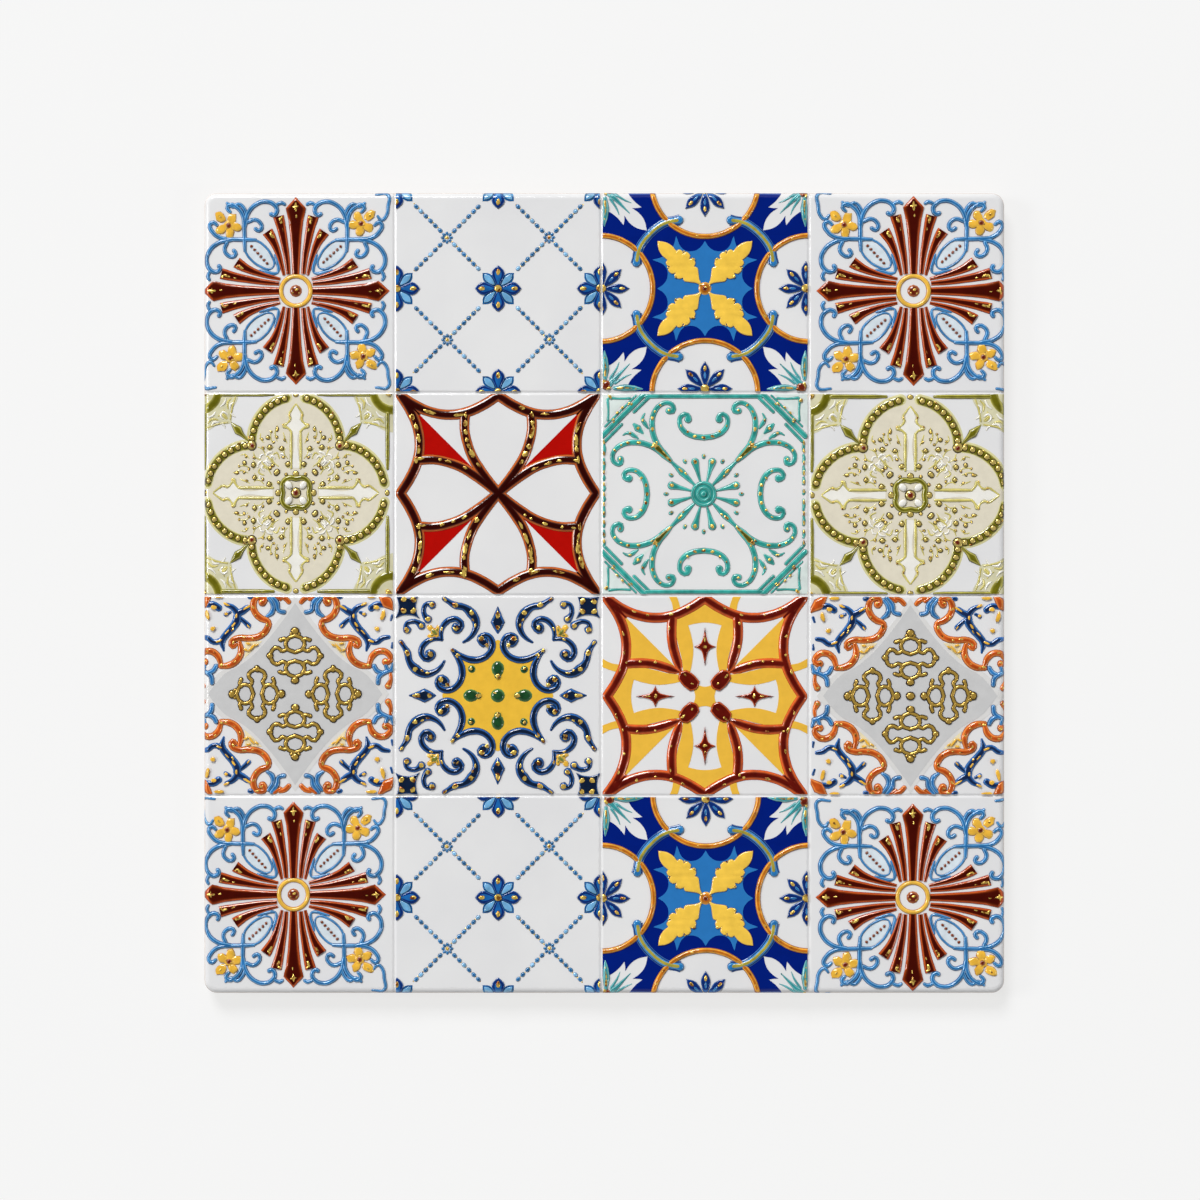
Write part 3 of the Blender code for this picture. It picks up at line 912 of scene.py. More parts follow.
set_on_face("cobalt_clasps", [clasp_feet], cobalt_places, navy_glaze)
clasp_bead = raised(squeezed(eight_ways([clasp_body]), rise=0.3), 0.16)
# Cobalt over the navy: a brighter blue bead that rises out of the dark clasp
set_on_face("cobalt_clasp_beads", [clasp_bead], cobalt_places, coloured_glaze(
    "clasp_cobalt_glaze", "#2a78b8", "#4a96cc", "#0e4080", spread=0.2
))
crown_beads = raised(squeezed(eight_ways([clasp_crown]), rise=0.3), 0.56)
# Copper and iron over the blue: a thin olive line along the crown, which takes the light
set_on_face("cobalt_clasp_crowns", [crown_beads], cobalt_places, coloured_glaze(
    "copper_olive_glaze", "#a59a3e", "#d8cf86", "#5c6a34", spread=0.25
))
palmette_lines = [
    [(24.3, 23.9, 1.3), (21.6, 21.5, 0.8), (18.8, 18.8, 0.25)],
    [(23.6, 22.4, 0.8), (22.0, 19.9, 0.5), (21.4, 18.4, 0.2)],
]
# Copper green with some cobalt in it: teal, lighter where it thins
teal_glaze = coloured_glaze("copper_green_glaze", "#2f8f94", "#8fcdd0", "#1f6f7c", spread=0.2)
tear = [(25.1, 15.6, 0.4), (24.9, 17.6, 1.5), (24.8, 20.0, 1.9), (24.9, 22.6, 1.0)]
set_on_face("cobalt_palmette_lines", [squeezed(eight_ways([*palmette_lines, tear]))], cobalt_places, teal_glaze)
tear_crown = [(25.0, 17.2, 0.3), (24.8, 19.8, 1.0), (24.9, 21.8, 0.5)]
corner_drops = spot_ways([(24.6, 24.1, 2.7, 2.4, 45)], four_ways)
cobalt_bosses = lowered(drops([(0, 0, 1.8, 1.8, 0), *corner_drops]), 0.95)
set_on_face("cobalt_boss", [cobalt_bosses], cobalt_places, chestnut_glaze)
cobalt_glints = [(0.2, 0.3, 0.7, 0.5, 0), (-1.1, 0.9, 0.6, 0.5, 30), (1.2, 0.6, 0.5, 0.4, 30)]
cobalt_glints += spot_ways([(24.0, 24.9, 1.3, 0.8, 30), (25.2, 23.2, 1.0, 0.7, 80)], four_ways)
for n, angle in enumerate((200, 214, 232, 262, 285, 301, 322, 338)):
    spot = on_circle(0, window_y, window_radius, angle)
    cobalt_glints += spot_ways([(*spot, 1.5 + 0.3 * (n % 3), 0.45, angle + 90)], four_ways)
leaf_knobs = spot_ways([(7.3, 2.9, 0.9, 0.6, 60), (9.2, 5.2, 0.6, 0.4, 40)], eight_ways)
set_on_face(
    "cobalt_lustre",
    [raised(drops(daisy_drops, 0.2, seed=12), 0.28), raised(drops(cobalt_glints, 0.4, seed=13), 0.46),
     raised(drops(leaf_knobs, 0.4, seed=14), 0.4), raised(squeezed(eight_ways([tear_crown]), rise=0.3), 0.46)],
    cobalt_places, gold_lustre,
)
daisy_hearts = raised(drops([(x, y, 1.0, 1.0, 0) for x, y in cobalt_hearts]), 0.56)
set_on_face("cobalt_daisy_hearts", [daisy_hearts], cobalt_places, chestnut_glaze)


# The squares with a quatrefoil
# A cream field inside a broad olive bead set with pearls of the same glaze, a ringed boss in the middle and small white
# arrow heads at the four ends of the cross. Trailed pearls and fine sprigs fill the field.
quatrefoil_places = [(3, 1, 76.4, 24.4, 1.0, 1.0), (0, 1, -77.0, 25.0, 0.93, 1.0)]
lobe_y, lobe_radius = 12.0, 11.9
field = chained([arc(0, 12.1, lobe_radius, 179, 1)])
# Rutile in tin glaze: a soft opaque cream, duller towards its rim
set_on_face("quatrefoil_field", [filled([field], 0.08)], quatrefoil_places, flat_glaze(
    "rutile_cream_glaze", "#dfd8c4", "#c9c09a"
))
lace_patch = [
    [(15.0, 26.4), (15.6, 23.6), (17.0, 20.8), (17.2, 17.9)], [(17.2, 17.9), (18.0, 17.2)],
    [(18.0, 17.2), (20.8, 17.0), (23.6, 15.6), (26.4, 15.0)], [(26.4, 15.0), (26.4, 26.4)],
    [(26.4, 26.4), (15.0, 26.4)],
]
# Olive thinned over the white: a pale grey-green wash with a greener rim
set_on_face("quatrefoil_corners", [filled(copied(lace_patch, four_ways), 0.08)], quatrefoil_places, flat_glaze(
    "thin_olive_glaze", "#d4d0ae", "#a8a160", spread=0.1
))
bands = [
    arc(0, lobe_y, lobe_radius, 178, 102, 2.45), arc(0, lobe_y, lobe_radius, 78, 2, 2.45),
    arc(25.8, 25.8, 5.1, 172, 278, 2.5),
]
frame_line = [(6.0, 24.6, 0.8), (9.0, 24.6, 1.15), (19.8, 24.6, 1.15)]
boss_ring = [[(0, 3.5), (1.8, 3.75), (3.05, 3.05), (3.75, 1.8), (3.5, 0)]]
boss_line = [(*p, 1.5) for run in chained(boss_ring) for p in run[:-1]]
buds = [[(13.0, 12.8, 0.6), (14.4, 14.3, 1.2), (15.6, 15.5, 2.4), (16.8, 16.7, 1.2), (17.6, 17.5, 0.3)]]
# Olive laid on thick: moss green on the crown, breaking to yellow on the slopes, darkest at the foot
olive_glaze = coloured_glaze(
    "thick_olive_glaze", "#686412", "#c2ba5c", "#504d10", spread=0.25, stops=(0.55, 0.82, 0.985)
)
# Where the olive glaze has bled a little way into the cream and the white
bleed = [arc(0, lobe_y, lobe_radius, 179, 101, 3.3), arc(0, lobe_y, lobe_radius, 79, 1, 3.3)]
bled_bands = squeezed(four_ways(bleed), section=flat_rib, rise=0.034)
set_on_face("quatrefoil_bleed", [bled_bands], quatrefoil_places, flat_glaze(
    "bled_olive_glaze", "#d6d09c", "#d9d4a8", spread=0.08
))
set_on_face(
    "quatrefoil_bands",
    [squeezed(four_ways(bands), section=flat_rib, rise=0.12),
     squeezed(eight_ways([frame_line]) + four_ways(buds)), squeezed([boss_line + boss_line[:1]], closed=True)],
    quatrefoil_places, olive_glaze,
)
pearls = []
for n in range(8):
    for angle in (104.5 + 9.7 * n, 75.5 - 9.7 * n):
        pearls.append((*on_circle(0, lobe_y, lobe_radius, angle), 1.95, 1.85, angle))
pearls = spot_ways(pearls, four_ways)
big_pearls = [(0, 0, 3.0, 3.0, 0)] + spot_ways([
    (lobe_radius, lobe_radius, 3.0, 2.9, 45), (0, 24.5, 1.7, 1.4, 0), (0, 4.8, 1.9, 1.7, 0),
], four_ways)


def lustre_over_glaze(name, flank, flank_at, crown, crown_at):
    """Gold lustre over a dark glaze: bright and half metallic on the crowns, and dark down the flanks as painted shade.
    The two shares say how far upwards the surface looks where it has each colour."""
    material, shader = new_finish(name)
    normal = add_node(material, "NewGeometry")
    upward = add_node(material, "SeparateXYZ", {"Vector": normal.outputs["Normal"]})
    film = add_node(material, "ValToRGB", {"Fac": upward.outputs["Z"]})
    # The flank colour is painted shade down the steep sides of each bead and pearl
    film.color_ramp.elements[0].position = flank_at
    film.color_ramp.elements[0].color = linear(flank)
    film.color_ramp.elements[1].position = crown_at
    film.color_ramp.elements[1].color = linear(crown)
    material.node_tree.links.new(film.outputs[0], shader.inputs["Base Color"])
    shader.inputs["Metallic"].default_value = 0.45
    shader.inputs["Roughness"].default_value = 0.16
    return material


# Lustre over olive glaze: greenish gold on the very crown, falling off to a dark olive brown all round it as painted
# shade
pearl_lustre = lustre_over_glaze("olive_gold_lustre", "#3a2c06", 0.7, "#e6cc72", 0.997)
set_on_face(
    "quatrefoil_pearls", [raised(drops(pearls), 0.02), lowered(drops(big_pearls), 0.55)], quatrefoil_places,
    pearl_lustre,
)
trails = [
    (2.1, 7.2, 1.7, 1.6, 0), (5.0, 5.3, 1.7, 1.6, 0), (3.8, 11.1, 1.5, 1.4, 0), (7.0, 11.4, 1.6, 1.5, 0),
    (7.5, 13.8, 1.4, 1.3, 0),
    (5.0, 15.9, 1.5, 1.0, 90), (5.1, 13.9, 1.0, 0.9, 0), (3.0, 13.2, 1.0, 0.8, 70), (8.8, 11.2, 1.0, 0.8, 30),
    (6.0, 12.6, 0.9, 0.8, 0),
    (3.4, 8.9, 1.0, 0.9, 0), (6.2, 6.9, 1.2, 1.1, 0), (9.0, 13.4, 0.9, 0.7, 45), (6.6, 15.2, 0.8, 0.7, 0),
    (2.6, 4.6, 1.1, 1.0, 0),
]
trail_pearls = drops(spot_ways(trails, eight_ways), 0.15, seed=20)
set_on_face("quatrefoil_trails", [trail_pearls], quatrefoil_places, pearl_lustre)
arrow_lines = [
    [(1.25, 6.2, 0.8), (1.3, 10.5, 0.95), (1.25, 15.2, 0.8)], [(1.2, 15.2, 0.8), (1.9, 16.0, 0.65), (3.2, 16.6, 1.1)],
    [(3.2, 16.9, 1.0), (2.2, 17.4, 0.55), (1.5, 18.6, 0.8), (1.9, 19.4, 0.65), (1.2, 20.6, 0.65), (0.1, 22.1, 0.5)],
    [(2.7, 11.2, 0.25), (3.8, 10.4, 0.5), (4.9, 11.2, 0.25)],
    [(5.9, 11.5, 0.25), (7.0, 10.7, 0.5), (8.2, 11.6, 0.25)],
    [(1.2, 7.4, 0.25), (2.1, 6.3, 0.5), (3.0, 7.4, 0.25)], [(5.0, 16.8, 0.3), (5.6, 14.8, 0.5), (5.0, 12.9, 0.3)],
    [(4.4, 8.6, 0.4), (5.2, 10.0, 0.6), (6.0, 9.6, 0.4)], [(7.0, 6.2, 0.4), (8.4, 6.8, 0.6), (9.4, 8.2, 0.4)],
    [(16.2, 24.0, 0.4), (17.0, 21.6, 0.6), (17.6, 18.4, 0.5)],
    [(17.4, 23.6, 0.4), (18.4, 22.4, 0.7), (18.2, 21.0, 0.4)],
    [(19.2, 20.8, 0.4), (19.6, 19.4, 0.7), (18.6, 18.4, 0.4)], [(2.4, 12.4, 0.3), (3.0, 13.8, 0.5), (3.4, 15.0, 0.3)],
    [(4.6, 6.6, 0.3), (6.0, 7.6, 0.5), (6.4, 9.0, 0.3)], [(8.2, 9.6, 0.3), (9.0, 11.0, 0.5), (10.2, 11.4, 0.3)],
    [(6.2, 12.4, 0.3), (6.8, 13.8, 0.5), (6.6, 15.4, 0.3)], [(2.2, 8.6, 0.3), (3.2, 9.8, 0.5), (3.0, 11.2, 0.3)],
    [(8.6, 12.6, 0.3), (9.6, 13.6, 0.5), (9.4, 14.8, 0.3)],
]
arrow_beads = squeezed(eight_ways(arrow_lines), section=fine_bead)
# The olive thinned and trailed: straw yellow lines, paler on the shoulder, with an olive foot
set_on_face("quatrefoil_sprigs", [arrow_beads], quatrefoil_places, coloured_glaze(
    "pale_trailed_glaze", "#c6b962", "#e2d998", "#857c34", spread=0.2
))
half_head = [
    [(0, 21.9), (1.0, 20.3), (1.2, 19.2), (0.9, 18.2)], [(0.9, 18.2), (1.8, 17.4), (3.1, 16.9)],
    [(3.1, 16.9), (1.9, 16.3), (1.0, 15.4), (1.0, 6.2)], [(1.0, 6.2), (0, 6.2)],
]
head = [*half_head, *(mirror_x(run)[::-1] for run in half_head[::-1])]
# White slip trailed under a thin glaze: it stays chalky white and takes a cream tone at its rim
white_trail = coloured_glaze("white_trailed_glaze", "#eceae2", "#f1efe9", "#c4bd98", spread=0.04)
white_drops = spot_ways([(1.95, 1.95, 2.6, 2.0, 45)], four_ways)
squiggles = [
    [(5.6, 8.6, 0.5), (6.2, 9.2, 0.8), (6.9, 8.8, 0.5)], [(7.4, 7.0, 0.5), (8.0, 7.8, 0.8), (7.6, 8.8, 0.5)],
    [(6.4, 10.2, 0.5), (7.4, 10.0, 0.8), (8.0, 9.2, 0.5)], [(3.2, 9.2, 0.4), (3.6, 9.8, 0.7), (4.2, 9.6, 0.4)],
    [(8.6, 9.6, 0.5), (9.4, 9.4, 0.7), (9.6, 8.6, 0.4)], [(16.6, 22.6, 0.4), (17.6, 22.0, 0.8), (17.6, 20.6, 0.4)],
    [(18.4, 19.6, 0.4), (19.4, 20.2, 0.8), (20.4, 19.4, 0.4)],
    [(18.8, 23.6, 0.4), (19.2, 22.4, 0.8), (20.2, 21.6, 0.4)],
    [(16.2, 19.0, 0.3), (17.0, 19.4, 0.6), (17.4, 20.4, 0.3)],
]
set_on_face(
    "quatrefoil_heads",
    [filled(copied(head, four_ways), 0.12), drops(white_drops),
     squeezed(eight_ways(squiggles), section=fine_bead, rise=0.45)],
    quatrefoil_places, white_trail,
)
quatrefoil_lustre = [(0.5, 0.6, 0.9, 0.5, 120)] + spot_ways([(25.0, 25.0, 1.9, 1.7, 45)], four_ways)
for angle in (172, 150, 128, 60, 38, 14):
    quatrefoil_lustre += spot_ways([(*on_circle(0, lobe_y, 12.75, angle), 0.9, 0.4, angle + 90)], four_ways)
quatrefoil_lustre += spot_ways([
    (15.6, 16.0, 1.1, 0.5, 45), (3.3, 17.0, 0.7, 0.5, 0), (1.7, 19.3, 0.6, 0.4, 90),
], eight_ways)
# A fleck on each trailed pearl, a little off its crown and never twice on the same side
for n, (x, y, length, *_) in enumerate(trails):
    fleck = (x + 0.25 * math.cos(n), y + 0.25 * math.sin(n), 0.45 * length, 0.35 * length, 50 * n)
    quatrefoil_lustre += spot_ways([fleck], eight_ways)
set_on_face(
    "quatrefoil_lustre", [raised(drops(quatrefoil_lustre, 0.4, seed=21), 0.24)], quatrefoil_places, gold_lustre
)
quatrefoil_hearts = [(0, 0, 1.5, 1.5, 0)] + spot_ways([(11.8, 11.7, 1.3, 1.1, 45)], four_ways)
set_on_face("quatrefoil_hearts", [raised(drops(quatrefoil_hearts), 0.5)], quatrefoil_places, chestnut_glaze)


# The square with a scalloped star in brown and red
# A bold round bead of manganese brown, scalloped along the four sides and crossed by four pairs of curved ribs. Half
# of each corner kite is filled with selenium red.
red_places = [(1, 1, -26.5, 24.9, 1.0, 1.0)]
scallop = [
    (0, 24.4, 2.6), (-4.0, 21.9, 2.7), (-8.3, 20.1, 2.7), (-12.3, 19.6, 2.6), (-16.5, 20.2, 2.6), (-20.5, 21.8, 2.8),
    (-24.4, 24.4, 2.4),
]
wedge = [(-19.8, 19.8, 1.0), (-21.8, 21.8, 3.2), (-25.4, 25.4, 2.0)]
rib = [
    (-8.3, 19.6, 2.6), (-8.4, 16.0, 2.5), (-7.7, 12.5, 2.5), (-6.4, 9.0, 2.6), (-4.8, 6.3, 2.7), (-2.5, 3.2, 2.5),
    (0, 0, 2.6),
]
# Manganese on a broad bead: black-brown along the crown, a thin rust line on the shoulders, red-brown at the foot
frame_brown = coloured_glaze(
    "frame_manganese_glaze", "#2f0603", "#cf6418", "#5a1606", spread=0.2, stops=(0.55, 0.84, 0.955)
)
red_beads = squeezed(eight_ways([scallop, rib]) + four_ways([wedge]), rise=0.21)
set_on_face("red_frame", [red_beads], red_places, frame_brown)
half_kite = [
    [(-20.2, 20.2), (-6.1, 6.1)], [(-6.1, 6.1), (-8.5, 7.2), (-12.0, 8.5), (-18.9, 9.2)],
    [(-18.9, 9.2), (-19.2, 14.5), (-20.2, 20.2)],
]
# Selenium red: level, bright and opaque, a shade deeper at its rim
set_on_face("red_fields", [filled(copied(half_kite, both_ways), 0.09)], red_places, flat_glaze(
    "selenium_red_glaze", "#b20c06", "#8a1206", spread=0.05
))
west_rib, east_rib = rib[:5], mirror_x(rib[:5])
west_edge, east_edge = scallop[2:6], mirror_x(scallop[2:6])
# Length, gap and width of the dabs on two ribs and two edges of each side: north, west, south and east
dabs_by_side = [
    [(west_rib, 2.2, 0.2, 0.95), (east_rib, 2.4, 0.2, 1.0), (west_edge, 2.6, 3.0, 0.8),
     (mirror_x(scallop[1:5]), 1.6, 5.0, 0.7)],
    [(west_rib, 1.2, 2.0, 0.65), (east_rib, 1.5, 1.6, 0.65), (west_edge, 2.2, 0.3, 0.85), (east_edge, 2.0, 0.5, 0.85)],
    [(west_rib, 2.4, 0.2, 0.95), (east_rib, 2.0, 0.4, 0.9), (scallop[1:5], 2.6, 2.2, 0.8), (east_edge, 2.4, 1.4, 0.8)],
    [(west_rib, 1.4, 1.8, 0.65), (east_rib, 1.2, 2.2, 0.65), (west_edge, 2.4, 0.3, 0.85), (east_edge, 2.4, 0.3, 0.9)],
]
red_dabs = []
for quarters, runs in enumerate(dabs_by_side):
    for n, (run, length, gap, width) in enumerate(runs):
        red_dabs += dabs_along(turned(run, quarters), length, gap, width, 0.2, seed=31 + 4 * quarters + n)
set_on_face("red_lustre", [raised(lowered(drops(red_dabs, 0.5, seed=30), 0.6), 0.5)], red_places, gold_lustre)


# The square with turquoise scrolls
# Everything on it is trailed in one copper turquoise glaze: a sun of eight rays round a ringed boss, four branching
# stems, four C-scrolls and the lines of the border.
turquoise_places = [(2, 1, 24.8, 24.7, 1.0, 1.0)]
sun_ray = [(3.3, 0, 0.6), (6.2, 0, 1.2), (8.4, 0, 2.1)]
rays = [spun(sun_ray, 15 + 30 * n) for n in range(12) if n % 3 != 1]
stem = [(2.4, 2.4, 0.7), (4.0, 4.0, 1.3), (5.5, 5.5, 1.8), (6.9, 6.9, 1.1), (8.4, 8.4, 0.8)]
branch = [
    (8.2, 8.3, 1.0), (9.5, 9.9, 1.3), (11.0, 11.6, 1.4), (12.3, 14.0, 1.5), (12.9, 17.0, 1.5),
    (12.4, 20.2, 1.4), (10.9, 22.2, 1.25),
    (9.0, 22.8, 1.2), (7.6, 21.9, 1.2), (7.7, 20.7, 1.4), (8.8, 20.8, 1.7),
]
c_scroll = [
    (-3.9, 18.6, 2.0), (-4.1, 19.8, 1.3), (-5.5, 19.6, 1.2), (-6.0, 17.8, 1.3), (-5.1, 15.9, 1.4),
    (-3.0, 14.6, 1.45), (0, 14.1, 1.5),
]
border = [
    [(25.4, 14.4, 1.4), (14.4, 25.4, 1.4)], [(24.6, 13.2, 0.9), (20.5, 17.4, 0.9)],
    [(16.9, 24.6, 0.6), (20.6, 20.9, 0.6)],
    [(18.4, 23.9, 0.7), (21.0, 23.8, 0.6), (23.6, 24.0, 0.8)],
]
sprigs = [
    [(13.9, 16.4, 0.5), (14.7, 17.6, 1.2), (15.3, 18.8, 0.9), (14.7, 20.1, 0.4)],
    [(17.6, 17.4, 0.4), (16.6, 16.4, 1.6), (15.2, 15.2, 0.6)],
]
long_lines = both_ways([[(0, 24.4, 1.15), (14.4, 24.4, 1.15)]])
chance = random.Random(45)
for side in (-24.9, 24.9):
    at = -13.0
    while at < 13.0:
        long = 0.8 + 2.2 * chance.random()
        long_lines.append([(side, at, 0.7), (side + 0.2 * chance.random(), at + long / 2, 0.9), (side, at + long, 0.6)])
        at += long + 0.9 + 0.8 * chance.random()
# Copper in an alkaline glaze: turquoise, milky where it thins over the shoulders and sea green at the foot as painted
# shade with a little pooled glaze
turquoise_glaze = coloured_glaze(
    "copper_turquoise_glaze", "#2f968d", "#74cbc2", "#0f625e", spread=0.3, stops=(0.55, 0.84, 0.975)
)
boss_rings = raised(squeezed([circle(0, 0, 2.8, 0.95), circle(0, 0, 1.55, 0.8)], closed=True), 0.15)
disc = filled([[circle(0, 0, 3.1)]], 0.1, bevel=0.12)
between_rays = [(*p, 1.4, 1.0, 30 * n) for n in range(12) for p in spun([(9.4, 0)], 30 * n)]
trailed = rays + long_lines + four_ways([stem]) + eight_ways([branch, c_scroll, *border, *sprigs])
set_on_face(
    "turquoise_scrolls",
    [levelled(squeezed(trailed, rise=0.45), 0.5), boss_rings, disc, raised(drops([(0, 0, 1.5, 1.5, 0)]), 0.3),
     drops(between_rays)],
    turquoise_places, turquoise_glaze,
)
corner = [[(16.2, 26.4), (26.4, 16.2)], [(26.4, 16.2), (26.4, 26.4)], [(26.4, 26.4), (16.2, 26.4)]]
fork = [
    [(13.0, 13.6), (14.8, 15.6), (14.4, 17.6)], [(14.4, 17.6), (17.6, 14.4)],
    [(17.6, 14.4), (15.6, 14.8), (13.6, 13.0)], [(13.6, 13.0), (13.0, 13.6)],
]
washes = filled(copied(corner, four_ways) + copied(fork, four_ways), 0.07)
# The turquoise let down to a wash: white with a breath of green, clearer along its rim
set_on_face("turquoise_corners", [washes], turquoise_places, flat_glaze(
    "thin_turquoise_wash", "#d9e4e0", "#a8cfc6", spread=0.06
))
# Copper with iron: the dark green web in the forks of the stems
webs = four_ways([[(8.4, 8.4, 0.7), (10.2, 10.2, 1.1), (11.6, 11.6, 1.6), (12.4, 12.4, 0.6)]])
set_on_face("turquoise_webs", [raised(squeezed(webs, rise=0.3), 0.26)], turquoise_places, coloured_glaze(
    "copper_iron_glaze", "#4a4a14", "#b09a44", "#2a4224", spread=0.3
))


def resized(spots, share):
    """Drops with their length and width multiplied by a share."""
    return [(x, y, share * length, share * width, turn) for x, y, length, width, turn in spots]


turquoise_dots = []
for n in range(12):
    (ray_end,) = spun([(8.3, 0)], 15 + 30 * n)
    (between,) = spun([(9.4, 0)], 30 * n)
    if n % 3 != 1:
        turquoise_dots.append((*ray_end, 1.3, 1.0, 15 + 30 * n))
    turquoise_dots.append((between[0] + 0.1, between[1] + 0.2, 0.7, 0.5, 30 * n))
turquoise_dots += spot_ways([
    (12.1, 12.1, 1.6, 1.3, 45), (8.7, 8.7, 2.1, 0.7, 45), (24.3, 23.4, 1.3, 0.9, 45), (0, 14.1, 1.2, 0.9, 0),
    (5.9, 5.7, 1.6, 0.7, 45),
    (10.3, 10.0, 1.4, 0.5, 45), (5.1, 4.5, 0.9, 0.5, 45),
], four_ways)
turquoise_dots += spot_ways([
    (-2.2, 14.4, 1.1, 0.8, 20), (10.9, 22.2, 0.9, 0.6, 30), (12.8, 16.2, 1.3, 0.8, 90),
    (12.8, 18.9, 1.1, 0.8, 90), (15.2, 18.4, 0.9, 0.6, 90),
    (-4.0, 15.6, 0.9, 0.6, 50), (12.2, 20.6, 0.8, 0.5, 110), (11.7, 12.9, 0.9, 0.5, 60),
    (22.6, 18.6, 1.1, 0.5, 135), (18.0, 22.4, 0.9, 0.4, 135),
    (16.5, 16.3, 0.8, 0.6, 45), (8.7, 20.9, 0.8, 0.6, 0), (21.6, 20.3, 1.0, 0.6, 135), (5.7, 17.0, 0.8, 0.4, 75),
], eight_ways)
for n in range(11):
    for side in (-24.9, 25.0):
        turquoise_dots.append((side, -12.6 + 2.5 * n + 0.9 * chance.random(), 1.3, 0.6, 90))
turquoise_dabs = raised(drops(resized(turquoise_dots, 0.86), 0.5, seed=41), 0.42)
set_on_face("turquoise_lustre", [turquoise_dabs], turquoise_places, gold_lustre)


# The squares with a grey diamond
# A flat grey field with a paler edge, covered with a lattice of gold beads, in a border of scrolls trailed in orange,
# navy and light blue.
grey_places = [(0, 2, -77.2, -25.2, 1.0, 1.0), (3, 2, 76.4, -25.7, 1.0, 1.0)]


def all_round(run):
    """A run from the north to the east tip of an outline, mirrored on to close it."""
    return [run, mirror_y(run)[::-1], mirror_y(mirror_x(run)), mirror_x(run)[::-1]]


diamond = [(0, 24.4), (2.8, 20.4), (7.1, 14.9), (10.9, 10.8), (14.8, 7.7), (18.6, 5.6), (20.8, 3.4), (23.4, 0)]
inner_diamond = [(0.93 * x, 0.93 * y) for x, y in diamond]
# Tin glaze barely greyed, in a thin margin: near white
set_on_face("grey_field_edge", [filled([all_round(diamond)], 0.09)], grey_places, flat_glaze(
    "pale_grey_glaze", "#dad9d7", "#c9c8c6", spread=0.02
))
# Tin glaze greyed with a little manganese and cobalt: an even neutral grey, lighter at its rim
set_on_face("grey_field", [filled([all_round(inner_diamond)], 0.13)], grey_places, flat_glaze(
    "grey_tin_glaze", "#c9c9c9", "#d2d2d1", spread=0.03
))
lace = [
    [(0, 14.6), (2.0, 13.6), (2.1, 11.5), (0, 10.4)], [(0, 8.3), (2.1, 7.3), (2.0, 5.3), (0, 4.2)],
    [(2.0, 11.3), (3.1, 10.7), (4.2, 11.5), (5.2, 11.4), (6.2, 9.9)],
    [(6.2, 9.2), (5.3, 7.7), (4.1, 7.5), (3.1, 8.1), (2.0, 7.5)],
    [(1.9, 13.5), (2.7, 13.8), (3.6, 13.4)], [(1.9, 5.4), (2.9, 5.2), (3.8, 5.5)],
]
lace_knobs = [
    (0, 15.7, 2.1, 1.9, 0), (0.9, 15.0, 1.1, 1.0, 0), (0, 3.4, 2.1, 1.9, 0), (6.3, 9.5, 1.8, 1.7, 0),
    (5.8, 8.6, 1.1, 1.0, 0),
    (3.6, 13.5, 1.3, 1.1, 0), (2.0, 13.5, 1.3, 1.2, 0), (2.0, 11.3, 1.3, 1.2, 0), (2.0, 7.4, 1.3, 1.2, 0),
    (2.0, 5.4, 1.3, 1.2, 0),
    (5.0, 11.5, 1.3, 1.2, 0), (3.4, 10.8, 1.2, 1.1, 0), (4.6, 7.5, 1.3, 1.2, 0), (3.8, 5.5, 1.2, 1.1, 0),
]
# Gold lustre over brown: bright on the crowns, with brown-black painted shade down the steep flanks
shaded_gold_lustre = lustre_over_glaze("gold_lustre_shaded_flanks", "#2a1603", 0.72, "#cda84c", 0.985)
lace_beads = squeezed(eight_ways([even(run, 1.25) for run in lace]), rise=0.4)
knobs = drops(spot_ways(resized(lace_knobs, 1.12), eight_ways), 0.2, seed=51)
set_on_face("grey_lace", [lace_beads, knobs], grey_places, shaded_gold_lustre)
set_on_face("grey_boss", [drops([(0, 0, 2.6, 2.4, 0)], 0.1)], grey_places[1:], shaded_gold_lustre)
orange_scroll = [
    [(8.2, 22.8, 2.2), (7.4, 23.8, 1.3), (9.2, 24.3, 1.5), (10.4, 22.6, 1.8), (10.0, 20.4, 1.8),
     (8.4, 18.8, 1.8), (6.7, 18.0, 1.6),
     (7.0, 16.2, 1.8), (8.7, 14.5, 1.8), (11.2, 13.9, 1.8), (14.3, 13.9, 1.7), (15.9, 12.9, 1.6),
     (15.6, 11.8, 1.4), (14.9, 12.3, 1.3)],
    [(13.9, 12.9, 1.2), (13.5, 10.6, 1.8), (14.4, 8.5, 1.9), (16.3, 7.2, 1.9), (18.6, 6.9, 1.4)],
    [(18.5, 7.4, 1.3), (19.4, 9.6, 1.8), (21.4, 10.7, 1.8), (23.3, 10.0, 1.7), (23.8, 8.3, 1.4), (22.5, 8.0, 2.0)],
    [(1.5, 22.9, 1.3), (2.5, 23.9, 1.4), (3.8, 24.3, 1.1)], [(3.6, 23.6, 1.0), (5.2, 24.6, 1.1)],
    [(23.2, 1.9, 1.8), (23.9, 3.6, 1.1), (23.8, 5.0, 0.9)], [(21.2, 24.8, 1.2), (22.9, 22.9, 3.2), (24.8, 21.2, 1.2)],
]
